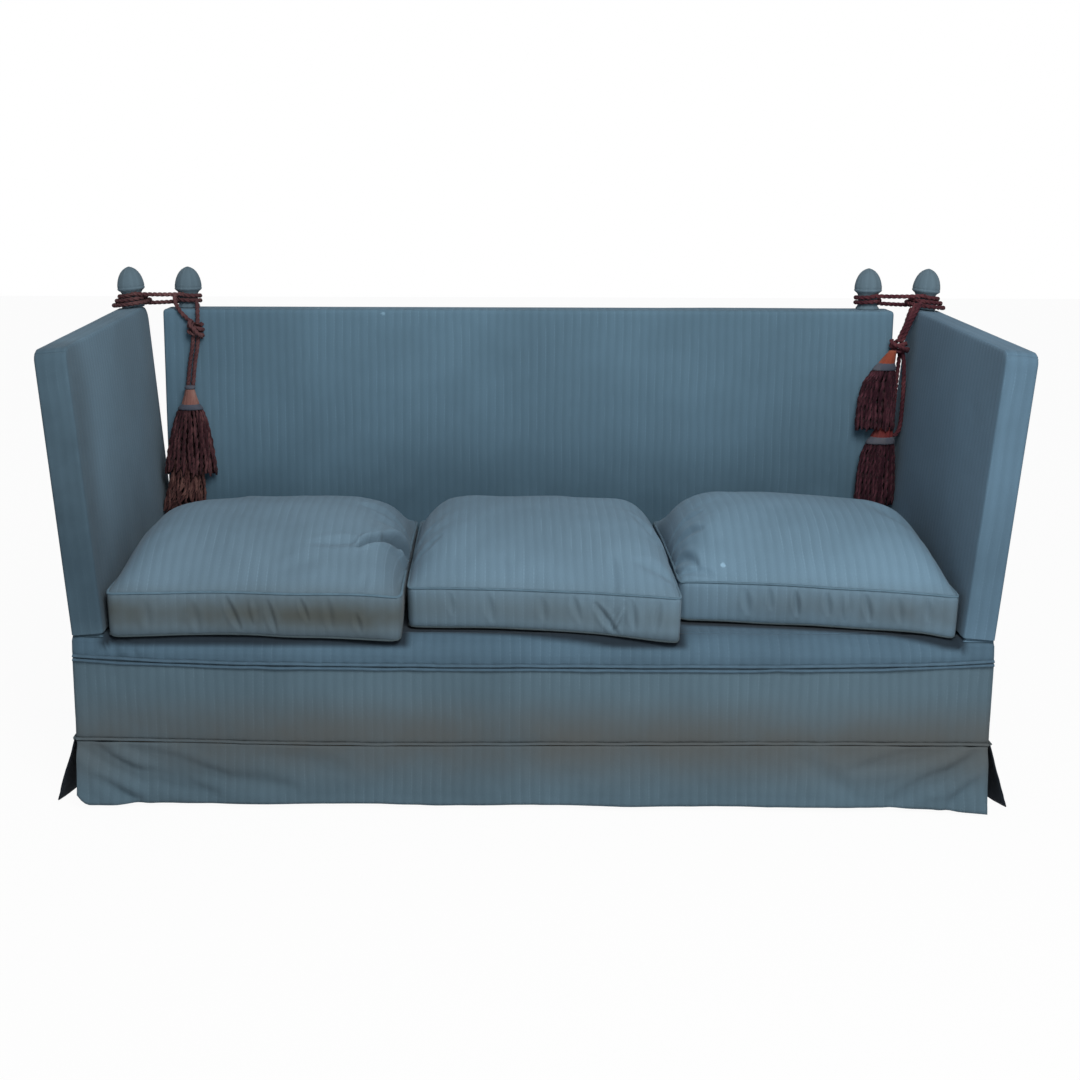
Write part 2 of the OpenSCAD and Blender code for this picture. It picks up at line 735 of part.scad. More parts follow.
module arm_stiles(side) {
    low = arm_bottom_z + arm_rail_w;
    y0 = rail_front_y + arm_front_stile_w;
    y1 = rail_rear_y - arm_rear_stile_w;
    under_top = arm_top_z(y0, cover_t) - arm_rail_w;
    color(timber) arm_pose(side) difference() {
        intersection() {
            arm_frame_slab();
            union() {
                block([arm_in_x, front_y, low], [half_w, y0, deck_h + arm_rear_h]);
                block([arm_in_x, y1, low], [half_w, rear_y, deck_h + arm_rear_h]);
                block([arm_in_x, -arm_mid_stile_w / 2, low],
                    [half_w, arm_mid_stile_w / 2, under_top]);
            }
        }
        arm_tenon_hole();
    }
}
module arm_padding(side) {
    color(wadding) arm_pose(side) difference() {
        intersection() {
            arm_solid(cover_t, arm_bottom_z);
            union() {
                block([arm_in_x, front_y, arm_bottom_z],
                    [arm_in_x + arm_frame_in, rear_y, deck_h + arm_rear_h]);
                block([arm_frame_out_x, front_y, arm_bottom_z],
                    [half_w, rear_y, deck_h + arm_rear_h]);
            }
        }
        hinge_relief();
        arm_tenon_hole();
    }
}
module arm_finial(side) {
    color(cloth_blue) arm_pose(side) arm_finial_at() finial();
}

// Cushion: a boxed feather cushion with a high crown, drawn-in sides and rounded corners
function cushion_xy(lane, fronts, k, a) =
    let (e = 2 / cushion_corner,
        u = k * sign(cos(a)) * pow(abs(cos(a)), e), v = k * sign(sin(a)) * pow(abs(sin(a)), e),
        x0 = cushion_room * (lane_shares[lane] - 0.5) + lane_gap,
        x1 = cushion_room * (lane_shares[lane + 1] - 0.5) - lane_gap,
        front = seat_d * (fronts[0] + (fronts[1] - fronts[0]) * (u + 1) / 2)
            + draw_in * (1 - u * u),
        mid = (front + cushion_rear_y) / 2, half = (cushion_rear_y - front) / 2,
        wide = (x1 - x0) / 2 * (1 - side_draw_share * (1 - v * v)))
    [(x0 + x1) / 2 + u * wide, mid + v * half];
function corner_dent(x, y, dents) =
    let (r = cushion_room / 2,
        left = norm([x + r, y - cushion_rear_y]) / corner_dent_r,
        right = norm([x - r, y - cushion_rear_y]) / corner_dent_r)
    (1 - dents[0] * exp(-left * left)) * (1 - dents[1] * exp(-right * right));
function cushion_level(lane, fronts, k, z, rise, dents) =
    [for (i = [0:cushion_points - 1])
        let (a = 360 * (i + 0.5) / cushion_points, p = cushion_xy(lane, fronts, k, a),
            e = 2 / cushion_corner, u = k * pow(abs(cos(a)), e),
            v = k * sign(sin(a)) * pow(abs(sin(a)), e), rear = max(0, v))
        [p[0], p[1], z + rise * (1 - pow(u, crown_side_power)) * (1 - pow(abs(v), crown_power))
            * (1 - rear_fall_share * rear * rear) * corner_dent(p[0], p[1], dents)]];
module cushion(lane, fronts, crown, dents) {
    low = cushion_bottom_z;
    seam = boxing_h * seam_rise_share;
    levels = concat(
        [[cushion_foot_share, low, 0], [boxing_in_share, low + seam / 2, 0], [1, low + seam, 0],
            [boxing_in_share, low + boxing_h / 2, 0], [1, low + boxing_h, 0]],
        [for (k = crown_ring_shares) [k, low + boxing_h, crown]]);
    color(cushion_blue) skin([for (l = levels)
        cushion_level(lane, fronts, l[0], l[1], l[2], dents)], cushion_points);
}

// Rope windings on the finials, spans between them, knots, hanging rope and tassels
arm_winding = winding_route([half_w - arm_finial_in, rear_y - arm_finial_y_in,
    arm_top_z(rear_y - arm_finial_y_in, 0)], arm_loop_low, arm_loop_high, arm_turns, -1);
back_winding = winding_route([back_half - back_finial_in, rear_y - finial_foot_r - cover_t,
    back_h], back_loop_low, back_loop_high, back_turns, 1);
echo(arm_winding_least_gap = least_gap(arm_winding));
echo(back_winding_least_gap = least_gap(back_winding));

// Where a point of the upright right arm lies at rest
function leaned(p) =
    let (x = p[0] - half_w, z = p[2] - deck_h)
    [half_w + x * cos(arm_lean) + z * sin(arm_lean), p[1],
        deck_h + z * cos(arm_lean) - x * sin(arm_lean)];
module arm_wrap(side) {
    arm_pose(side) tube(arm_winding, rope_r, winding_sides, [0, 0, 1]);
}
module back_wrap(side) {
    on_side(side) tube(back_winding, rope_r, winding_sides, [0, 0, 1]);
}
module span(side) {
    last = len(arm_winding) - 1;
    tail = len(back_winding) - 1;
    pairs = [[leaned(arm_winding[0]), back_winding[0], rope_gap * 2],
        [leaned(arm_winding[last]), back_winding[tail], lift_gap]];
    on_side(side) for (p = pairs) {
        way = unit(p[1] - p[0]);
        tube([p[0] + p[2] * way, (p[0] + p[1]) / 2, p[1] - p[2] * way],
            rope_r - rope_gap, cord_sides, [0, 0, 1]);
    }
}
module tassel(places) {
    skin([for (p = places) [for (i = [0:tassel_sides - 1])
        [p[0] + p[3] * cos(360 * i / tassel_sides), p[1] + p[4] * sin(360 * i / tassel_sides), p[2]]]],
        tassel_sides);
}
module cord(route) {
    tube(route, rope_r, cord_sides, [0, 1, 0]);
}
module knot(at) {
    translate(at) sphere(knot_r, $fn = round_fn / 2);
}
module left_arm_rope() {
    color(rope_plum) arm_wrap(-1);
}
module left_rope_span() {
    color(rope_plum) span(-1);
}
module left_back_rope() {
    color(rope_plum) {
        back_wrap(-1);
        cord(left_v_route);
        cord(left_v2_route);
        knot(left_knot_at);
        cord(left_strand_route);
        cord(left_strand2_route);
    }
}
module left_tassels() {
    color(rope_plum) {
        tassel(left_high_tassel);
        tassel(left_low_tassel);
    }
}
module right_arm_rope() {
    color(rope_plum) {
        arm_wrap(1);
        cord(right_drop_route);
        cord(right_drop2_route);
        knot(right_knot_at);
        cord(right_low_route);
        tassel(right_high_tassel);
        tassel(right_low_tassel);
    }
}
module right_rope_span() {
    color(rope_plum) span(1);
}
module right_back_rope() {
    color(rope_plum) back_wrap(1);
}

front_rail();
back_rail();
side_rail(-1);  // left_side_rail
side_rail(1);  // right_side_rail
cross_rails();
corner_blocks();
legs();
glides();
seat_webbing();
seat_springs();
seat_hessian();
deck_pad();
deck_cover();
front_lip();
front_border();
side_border(-1);  // left_border
side_border(1);  // right_border
back_border();
welts();
front_skirt();
side_skirt(-1);  // left_skirt
side_skirt(1);  // right_skirt
back_skirt();
corner_pleats();
dust_cover();
back_posts();
back_rails();
back_webbing();
back_padding();
back_cover();
outside_back();
back_finial(-1);  // left_back_finial
back_finial(1);  // right_back_finial
base_hinge_leaves();
hinge_pins();
base_hinge_screws();
arm_rails(-1);  // left_arm_rails
arm_stiles(-1);  // left_arm_stiles
arm_padding(-1);  // left_arm_padding
arm_cover(-1);  // left_arm_cover
arm_finial(-1);  // left_arm_finial
arm_hinge_leaves(-1);  // left_arm_hinge_leaves
arm_screws(-1);  // left_arm_screws
arm_rails(1);  // right_arm_rails
arm_stiles(1);  // right_arm_stiles
arm_padding(1);  // right_arm_padding
arm_cover(1);  // right_arm_cover
arm_finial(1);  // right_arm_finial
arm_hinge_leaves(1);  // right_arm_hinge_leaves
arm_screws(1);  // right_arm_screws
cushion(0, left_front_shares, left_crown, [1, 0]);  // left_cushion
cushion(1, middle_front_shares, middle_crown, [0, 0]);  // middle_cushion
cushion(2, right_front_shares, right_crown, [0, 1]);  // right_cushion
left_arm_rope();
left_rope_span();
left_back_rope();
left_tassels();
right_arm_rope();
right_rope_span();
right_back_rope();
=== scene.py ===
import json
import math
import random

import bmesh
import bpy
from mathutils import Matrix, Vector, noise
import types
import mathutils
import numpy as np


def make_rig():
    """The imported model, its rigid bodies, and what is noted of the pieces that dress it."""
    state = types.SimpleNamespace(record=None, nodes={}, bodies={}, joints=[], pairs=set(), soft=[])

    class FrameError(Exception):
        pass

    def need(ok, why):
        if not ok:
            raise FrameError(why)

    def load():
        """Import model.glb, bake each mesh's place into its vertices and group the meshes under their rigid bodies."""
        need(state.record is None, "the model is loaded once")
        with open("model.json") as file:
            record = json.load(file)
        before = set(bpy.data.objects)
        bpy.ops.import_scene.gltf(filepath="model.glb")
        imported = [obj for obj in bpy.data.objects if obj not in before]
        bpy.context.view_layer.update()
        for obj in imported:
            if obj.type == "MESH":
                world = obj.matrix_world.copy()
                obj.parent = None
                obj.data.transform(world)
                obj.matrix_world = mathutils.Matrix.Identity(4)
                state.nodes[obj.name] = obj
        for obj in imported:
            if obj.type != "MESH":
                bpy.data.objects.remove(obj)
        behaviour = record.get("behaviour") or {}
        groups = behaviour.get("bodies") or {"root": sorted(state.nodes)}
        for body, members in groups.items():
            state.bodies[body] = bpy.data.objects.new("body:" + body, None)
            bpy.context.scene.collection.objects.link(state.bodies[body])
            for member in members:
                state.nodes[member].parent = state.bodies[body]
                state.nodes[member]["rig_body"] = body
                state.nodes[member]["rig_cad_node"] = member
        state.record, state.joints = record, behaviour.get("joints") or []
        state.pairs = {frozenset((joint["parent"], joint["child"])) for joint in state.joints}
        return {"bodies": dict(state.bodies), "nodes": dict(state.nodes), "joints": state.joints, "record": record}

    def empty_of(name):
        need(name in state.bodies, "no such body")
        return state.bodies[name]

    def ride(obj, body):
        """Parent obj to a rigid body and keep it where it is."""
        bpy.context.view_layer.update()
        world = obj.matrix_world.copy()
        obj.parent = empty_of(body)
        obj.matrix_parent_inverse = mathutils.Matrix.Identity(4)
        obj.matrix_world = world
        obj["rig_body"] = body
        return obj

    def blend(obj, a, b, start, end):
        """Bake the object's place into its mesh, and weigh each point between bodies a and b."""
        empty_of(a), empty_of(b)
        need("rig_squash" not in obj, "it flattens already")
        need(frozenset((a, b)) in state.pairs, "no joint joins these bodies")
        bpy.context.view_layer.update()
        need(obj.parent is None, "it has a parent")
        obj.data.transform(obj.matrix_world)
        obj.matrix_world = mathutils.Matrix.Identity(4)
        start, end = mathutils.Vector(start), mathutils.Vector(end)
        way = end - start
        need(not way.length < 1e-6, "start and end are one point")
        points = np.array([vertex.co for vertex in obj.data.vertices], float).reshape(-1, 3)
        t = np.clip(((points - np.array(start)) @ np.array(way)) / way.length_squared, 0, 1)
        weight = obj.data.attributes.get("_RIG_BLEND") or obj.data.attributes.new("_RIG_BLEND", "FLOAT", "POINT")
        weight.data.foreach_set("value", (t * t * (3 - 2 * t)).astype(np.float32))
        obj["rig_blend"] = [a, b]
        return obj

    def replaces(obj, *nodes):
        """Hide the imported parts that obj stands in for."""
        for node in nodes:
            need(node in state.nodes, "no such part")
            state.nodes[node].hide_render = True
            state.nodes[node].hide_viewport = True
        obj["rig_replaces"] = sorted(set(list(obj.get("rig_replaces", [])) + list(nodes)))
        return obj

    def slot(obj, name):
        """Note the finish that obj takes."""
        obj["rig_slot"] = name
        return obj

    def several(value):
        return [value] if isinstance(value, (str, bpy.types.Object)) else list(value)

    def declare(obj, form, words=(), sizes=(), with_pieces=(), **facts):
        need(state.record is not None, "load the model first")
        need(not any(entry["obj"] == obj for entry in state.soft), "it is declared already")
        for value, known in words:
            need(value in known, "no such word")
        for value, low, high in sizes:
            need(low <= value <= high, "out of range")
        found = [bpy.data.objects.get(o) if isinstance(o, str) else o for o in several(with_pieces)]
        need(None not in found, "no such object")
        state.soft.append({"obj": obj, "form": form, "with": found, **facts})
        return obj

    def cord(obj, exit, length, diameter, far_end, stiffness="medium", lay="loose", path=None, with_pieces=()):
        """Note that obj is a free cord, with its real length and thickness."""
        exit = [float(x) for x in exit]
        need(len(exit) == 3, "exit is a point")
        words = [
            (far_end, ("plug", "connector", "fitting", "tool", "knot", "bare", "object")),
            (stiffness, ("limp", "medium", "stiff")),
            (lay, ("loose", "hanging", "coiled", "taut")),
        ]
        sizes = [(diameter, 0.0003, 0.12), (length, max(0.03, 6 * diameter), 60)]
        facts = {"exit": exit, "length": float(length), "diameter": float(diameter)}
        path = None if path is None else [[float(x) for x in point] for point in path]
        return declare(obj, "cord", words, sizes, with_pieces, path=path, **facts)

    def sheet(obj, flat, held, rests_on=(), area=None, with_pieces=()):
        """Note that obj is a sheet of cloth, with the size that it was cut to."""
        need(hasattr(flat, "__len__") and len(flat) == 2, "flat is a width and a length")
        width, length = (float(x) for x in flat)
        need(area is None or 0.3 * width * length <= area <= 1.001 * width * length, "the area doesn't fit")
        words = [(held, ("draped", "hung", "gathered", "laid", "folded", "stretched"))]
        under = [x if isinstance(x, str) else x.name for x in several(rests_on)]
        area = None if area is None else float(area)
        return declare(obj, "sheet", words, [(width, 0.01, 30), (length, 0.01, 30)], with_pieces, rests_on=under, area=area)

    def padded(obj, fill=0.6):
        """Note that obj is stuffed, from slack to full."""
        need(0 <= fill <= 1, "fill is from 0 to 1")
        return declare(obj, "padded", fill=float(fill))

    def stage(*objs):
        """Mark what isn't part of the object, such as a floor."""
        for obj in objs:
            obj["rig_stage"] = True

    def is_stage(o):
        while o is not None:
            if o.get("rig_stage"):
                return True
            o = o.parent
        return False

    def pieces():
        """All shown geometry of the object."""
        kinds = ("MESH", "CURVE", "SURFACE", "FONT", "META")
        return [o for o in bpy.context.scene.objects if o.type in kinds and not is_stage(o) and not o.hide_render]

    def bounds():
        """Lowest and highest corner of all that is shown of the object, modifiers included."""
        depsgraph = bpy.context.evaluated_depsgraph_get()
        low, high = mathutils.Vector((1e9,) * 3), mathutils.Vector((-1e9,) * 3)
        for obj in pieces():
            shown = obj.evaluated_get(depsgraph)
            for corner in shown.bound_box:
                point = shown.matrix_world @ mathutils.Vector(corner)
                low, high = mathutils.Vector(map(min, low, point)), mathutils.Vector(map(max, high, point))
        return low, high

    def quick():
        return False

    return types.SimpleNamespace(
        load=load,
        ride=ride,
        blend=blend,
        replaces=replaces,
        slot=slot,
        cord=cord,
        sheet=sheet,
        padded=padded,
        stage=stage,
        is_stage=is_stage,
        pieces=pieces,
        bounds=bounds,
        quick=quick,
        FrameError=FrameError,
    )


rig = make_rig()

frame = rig.load()
cad_box = [list(corner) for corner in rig.bounds()]
scene = bpy.context.scene
scene.view_settings.view_transform = "Standard"

# The camera stands 3.1 m in front of the sofa, a hand's width left of its middle, and looks eleven
# degrees down through a 53 mm lens.
camera = bpy.data.objects.new("camera", bpy.data.cameras.new("camera"))
scene.collection.objects.link(camera)
camera.data.lens, camera.data.sensor_width = 52.96, 36
camera.data.shift_x, camera.data.shift_y = 0.062, -0.069
camera_place = (-0.0777, -3.531, 1.3453)
heading, tip, roll = (math.radians(angle) for angle in (0.79, 79, 0.1))
camera.matrix_world = (
    Matrix.Translation(camera_place) @ Matrix.Rotation(heading, 4, "Z")
    @ Matrix.Rotation(tip, 4, "X") @ Matrix.Rotation(roll, 4, "Z"))
scene.camera = camera


# A white paper floor and a white room, with one large soft lamp high in front and a weaker one
# low on the right. The paper's whiteness is only for the camera and for reflections.
def add(tree, kind, inputs=(), **settings):
    """Adds a shader node. An input is a number or colour, or the output that feeds it."""
    made = tree.nodes.new("ShaderNode" + kind)
    for key, value in settings.items():
        setattr(made, key, value)
    for key, value in dict(inputs).items():
        if isinstance(value, bpy.types.NodeSocket):
            tree.links.new(value, made.inputs[key])
        else:
            made.inputs[key].default_value = value
    return made


def calc(tree, operation, a, b=0.0, c=0.0):
    return add(tree, "Math", {0: a, 1: b, 2: c}, operation=operation).outputs[0]


def bare_tree(owner):
    """Switches on the nodes of a material or of the world, and empties them."""
    owner.use_nodes = True
    owner.node_tree.nodes.clear()
    return owner.node_tree


def seen_directly(tree):
    path = add(tree, "LightPath").outputs
    seen = calc(tree, "MAXIMUM", path["Is Camera Ray"], path["Is Glossy Ray"])
    return calc(tree, "MAXIMUM", seen, path["Is Transmission Ray"])


scene.world = bpy.data.worlds.new("white room")
tree = bare_tree(scene.world)
dim = add(tree, "Background", {"Color": (0.93, 0.96, 1, 1), "Strength": 0.30})
white = add(tree, "Background", {"Color": (1, 1, 1, 1), "Strength": 1.0})
mixed = add(tree, "MixShader", {0: seen_directly(tree), 1: dim.outputs[0], 2: white.outputs[0]})
add(tree, "OutputWorld", {"Surface": mixed.outputs[0]})

bm = bmesh.new()
bmesh.ops.create_grid(bm, x_segments=1, y_segments=1, size=12)
mesh = bpy.data.meshes.new("floor")
bm.to_mesh(mesh)
bm.free()
floor = bpy.data.objects.new("floor", mesh)
scene.collection.objects.link(floor)
paper = bpy.data.materials.new("white paper")
tree = bare_tree(paper)
flat = add(tree, "BsdfPrincipled", {"Base Color": (0.74, 0.74, 0.74, 1), "Roughness": 0.9})
glow = add(tree, "Emission", {"Color": (1, 1, 1, 1), "Strength": 1.0})
share = calc(tree, "MULTIPLY", seen_directly(tree), 0.955)
mixed = add(tree, "MixShader", {0: share, 1: flat.outputs[0], 2: glow.outputs[0]})
add(tree, "OutputMaterial", {"Surface": mixed.outputs[0]})
mesh.materials.append(paper)
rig.stage(floor)


def soft_lamp(name, place, aim, width, watts, colour):
    lamp = bpy.data.objects.new(name, bpy.data.lights.new(name, "AREA"))
    lamp.data.size, lamp.data.energy, lamp.data.color = width, watts, colour
    lamp.location = place
    lamp.rotation_euler = (Vector(aim) - Vector(place)).to_track_quat("-Z", "Y").to_euler()
    scene.collection.objects.link(lamp)


soft_lamp("key lamp", (0.6, -2.9, 3.2), (0.1, 0, 0.5), 1.6, 117, (1, 0.985, 0.96))
soft_lamp("fill lamp", (2.3, -3.2, 1.2), (0, 0, 0.4), 1.6, 9, (0.95, 0.98, 1))


# Rope of three strands laid together, 11 mm thick, in dusty plum. It winds on each finial, crosses
# to the other one in two runs, and hangs down into the tassels. The routes are the solids' own.
def group(name, inputs, outputs):
    """A shader node group with its sockets."""
    made = bpy.data.node_groups.new(name, "ShaderNodeTree")
    for socket, kind, value in inputs:
        made.interface.new_socket(socket, in_out="INPUT",
                                  socket_type="NodeSocket" + kind).default_value = value
    for socket, kind in outputs:
        made.interface.new_socket(socket, in_out="OUTPUT", socket_type="NodeSocket" + kind)
    return made, made.nodes.new("NodeGroupInput").outputs, made.nodes.new("NodeGroupOutput").inputs


def tinted(tree, share, a, b, mode="MIX"):
    return add(tree, "Mix", {0: share, 6: a, 7: b}, data_type="RGBA", blend_type=mode).outputs[2]


def between(tree, value, low, high, start=0.0, end=1.0):
    return add(tree, "MapRange", {0: value, 1: low, 2: high, 3: start, 4: end},
               interpolation_type="SMOOTHSTEP").outputs[0]


def speckle(tree, place, scale, detail=3.0, rough=0.6):
    return add(tree, "TexNoise", {"Vector": place, "Scale": scale, "Detail": detail,
                                  "Roughness": rough}).outputs[0]


def relief(tree, height, strength, depth):
    return add(tree, "Bump", {"Height": height, "Strength": strength, "Distance": depth}).outputs[0]


def surfaced(made, sockets):
    """Gives a material its one surface, and gives the material back."""
    skin = add(made.node_tree, "BsdfPrincipled", sockets)
    add(made.node_tree, "OutputMaterial", {"Surface": skin.outputs[0]})
    return made


# Yarns run aslant round each strand. The cut map holds the turn round the strand and the metres
# along it.
full_turn = 6.2832
twisted_yarn, given, gives = group(
    "twisted yarn", [("Cut", "Vector", (0, 0, 0)), ("Place", "Vector", (0, 0, 0)),
                     ("Yarns", "Float", 9.0), ("Lay", "Float", 0.02)],
    [("Tone", "Float"), ("Height", "Float")])
part = add(twisted_yarn, "SeparateXYZ", {0: given["Cut"]}).outputs
turn = calc(twisted_yarn, "MULTIPLY", part["X"], given["Yarns"])
slant = calc(twisted_yarn, "DIVIDE", part["Y"], given["Lay"])
wave = calc(twisted_yarn, "SINE", calc(twisted_yarn, "MULTIPLY",
                                       calc(twisted_yarn, "ADD", turn, slant), full_turn))
fuzz = speckle(twisted_yarn, given["Place"], 900)
twisted_yarn.links.new(calc(twisted_yarn, "MULTIPLY_ADD", wave, 0.35,
                            calc(twisted_yarn, "MULTIPLY", fuzz, 0.5)), gives["Height"])
twisted_yarn.links.new(calc(twisted_yarn, "MULTIPLY_ADD", wave, 0.14,
                            calc(twisted_yarn, "MULTIPLY_ADD", fuzz, 0.5, 0.75)), gives["Tone"])


def yarn_material(name, colour, worn, yarns=9.0, lay=0.02, patch=(1, 1, 1)):
    """Yarn in one colour, worn to a paler one in patches of a given shape."""
    made = bpy.data.materials.new(name)
    tree = bare_tree(made)
    place = add(tree, "TexCoord").outputs
    lines = add(tree, "Group", node_tree=twisted_yarn)
    for socket, value in (("Yarns", yarns), ("Lay", lay)):
        lines.inputs[socket].default_value = value
    for socket, source in (("Cut", "UV"), ("Place", "Object")):
        tree.links.new(place[source], lines.inputs[socket])
    shaped = add(tree, "Mapping", {"Vector": place["Object"], "Scale": patch}).outputs[0]
    patches = between(tree, speckle(tree, shaped, 14), 0.42, 0.68)
    shade = tinted(tree, patches, (*colour, 1), (*worn, 1))
    shade = tinted(tree, 1.0, shade, lines.outputs["Tone"], "MULTIPLY")
    return surfaced(made, {
        "Base Color": shade, "Roughness": 0.88, "Sheen Weight": 0.04, "Sheen Roughness": 0.5,
        "Specular IOR Level": 0.10, "Normal": relief(tree, lines.outputs["Height"], 0.6, 0.0008)})


rope_mauve = yarn_material("mauve rope", (0.085, 0.036, 0.040), (0.165, 0.082, 0.082))
rope_plum = yarn_material("plum rope", (0.062, 0.017, 0.025), (0.120, 0.038, 0.045))


def smooth_path(points, step):
    """Even steps along a smooth line through the points."""
    points = [Vector(p) for p in points]
    ends = [points[0] * 2 - points[1], *points, points[-1] * 2 - points[-2]]
    fine = []
    for a, b, c, d in zip(ends, ends[1:], ends[2:], ends[3:]):
        for i in range(12):
            t = i / 12
            fine.append(0.5 * (2 * b + (c - a) * t + (2 * a - 5 * b + 4 * c - d) * t * t
                               + (3 * b - a - 3 * c + d) * t ** 3))
    fine.append(points[-1])
    total = sum((q - p).length for p, q in zip(fine, fine[1:]))
    count = max(2, round(total / step))
    path, walked, k = [fine[0]], 0.0, 0
    for i in range(1, count):
        goal = total * i / count
        while walked + (fine[k + 1] - fine[k]).length < goal:
            walked += (fine[k + 1] - fine[k]).length
            k += 1
        way = fine[k + 1] - fine[k]
        path.append(fine[k] + way * ((goal - walked) / way.length))
    return path + [fine[-1]], total


def sweep(name, paths, radius, plies, lay, sides=18, widths=None):
    """One mesh of strands laid together along each path, with the twist in the surface."""
    ring = bpy.data.curves.new("ring", "CURVE")
    outline = ring.splines.new("POLY")
    outline.points.add(sides - 1)
    outline.use_cyclic_u = True
    off = 0.48 if plies > 2 else 0.4
    for i in range(sides):
        turn = 2 * math.pi * i / sides
        near = (turn + math.pi / plies) % (2 * math.pi / plies) - math.pi / plies
        r = radius * (off * math.cos(near)
                      + math.sqrt((1 - off) ** 2 - (off * math.sin(near)) ** 2))
        outline.points[i].co = (r * math.cos(turn), r * math.sin(turn), 0, 1)
    ring_object = bpy.data.objects.new("ring", ring)
    scene.collection.objects.link(ring_object)
    line = bpy.data.curves.new(name, "CURVE")
    line.dimensions, line.bevel_mode, line.bevel_object = "3D", "OBJECT", ring_object
    line.use_fill_caps = True
    longest = 0.0
    for path in paths:
        spline = line.splines.new("POLY")
        spline.points.add(len(path) - 1)
        walked = 0.0
        for i, p in enumerate(path):
            walked += (p - path[i - 1]).length if i else 0.0
            spline.points[i].co = (*p, 1)
            spline.points[i].tilt = 2 * math.pi * walked / lay
            spline.points[i].radius = widths[i] if widths else 1.0
        longest = max(longest, walked)
    made = bpy.data.objects.new(name, line)
    scene.collection.objects.link(made)
    bpy.context.view_layer.update()
    mesh = bpy.data.meshes.new_from_object(
        made.evaluated_get(bpy.context.evaluated_depsgraph_get()))
    for old in (made, ring_object):
        bpy.data.objects.remove(old)
    for loop in mesh.uv_layers[0].data:
        loop.uv.y *= longest
    mesh.name = name
    mesh.materials.clear()
    mesh.polygons.foreach_set("use_smooth", [True] * len(mesh.polygons))
    return mesh


def seat(name, mesh, material, body, slot, replaces=()):
    """Puts a finished mesh into the scene as a piece that rides on a body."""
    made = bpy.data.objects.new(name, mesh)
    scene.collection.objects.link(made)
    mesh.materials.append(material)
    if body:
        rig.ride(made, body)
    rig.slot(made, slot)
    if replaces:
        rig.replaces(made, *replaces)
    return made


both_sides = ((-1, "left"), (1, "right"))
half_w, hinge_z, lean = 0.950, 0.370, math.radians(5)
rope_d, rope_lay, rope_step = 0.011, 0.036, 0.003


def leaned(p, side):
    """Where a point of an upright right arm lies at rest, on either side."""
    turned = Matrix.Rotation(lean, 3, "Y") @ Vector((p[0] - half_w, p[1], p[2] - hinge_z))
    return Vector((side * (turned.x + half_w), turned.y, turned.z + hinge_z))


def winding(centre, low, high, turns, tail):
    """Turns of rope round a finial, with both ends run out straight. low and high give the
    radius and the rise of its first and last turn, and tail the side that it leaves on."""
    cx, cy, cz = centre
    line = [(cx + tail * rope_d, cy + low[0], cz + low[1])]
    steps = round(turns * 24)
    for i in range(steps + 1):
        s = i / steps
        turn = math.radians(90 + math.copysign(360, tail) * turns * s)
        r = low[0] + (high[0] - low[0]) * s
        line.append((cx + r * math.cos(turn), cy + r * math.sin(turn),
                     cz + low[1] + (high[1] - low[1]) * s))
    return line + [(cx + tail * rope_d, cy - high[0], cz + high[1] + 0.003)]


def free_rope(name, points, body, material, replaces=(), lay="taut"):
    """A length of rope along a route, declared as a free cord that ends on the object."""
    path, length = smooth_path(points, rope_step)
    strands = sweep(name, [path], rope_d / 2, 3, rope_lay)
    made = seat(name, strands, material, body, "rope", replaces)
    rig.cord(made, exit=path[0], length=length, diameter=rope_d, far_end="object",
            stiffness="limp", lay=lay, path=path)
    return made


arm_top = (0.910, 0.350, 0.9811795)
back_top = (0.8292, 0.359, 0.982)
arm_line = winding(arm_top, (0.048, 0.0058), (0.0283, 0.0312), 2.5, -1)
back_line = winding(back_top, (0.0283, 0.0136), (0.0283, 0.031), 1.5, 1)
for (side, word), material in zip(both_sides, (rope_mauve, rope_plum)):
    on_arm = [leaned(p, side) for p in arm_line]
    on_back = [Vector((side * p[0], p[1], p[2])) for p in back_line]
    free_rope(word + "_arm_winding", on_arm, word + "_arm", material, [word + "_arm_rope"],
              "coiled")
    free_rope(word + "_back_winding", on_back, "base", material, [word + "_back_rope"],
              "coiled")
    for run, a, b in (("rear", on_arm[0], on_back[0]), ("front", on_arm[-1], on_back[-1])):
        way = (b - a).normalized() * 0.0004
        sag = Vector((0, 0, -0.0012))
        points = [a + way, a.lerp(b, 0.3) + sag, a.lerp(b, 0.7) + sag, b - way]
        made = free_rope(f"{word}_{run}_run", points, None, material, [word + "_rope_span"])
        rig.blend(made, word + "_arm", "base", start=a, end=b)


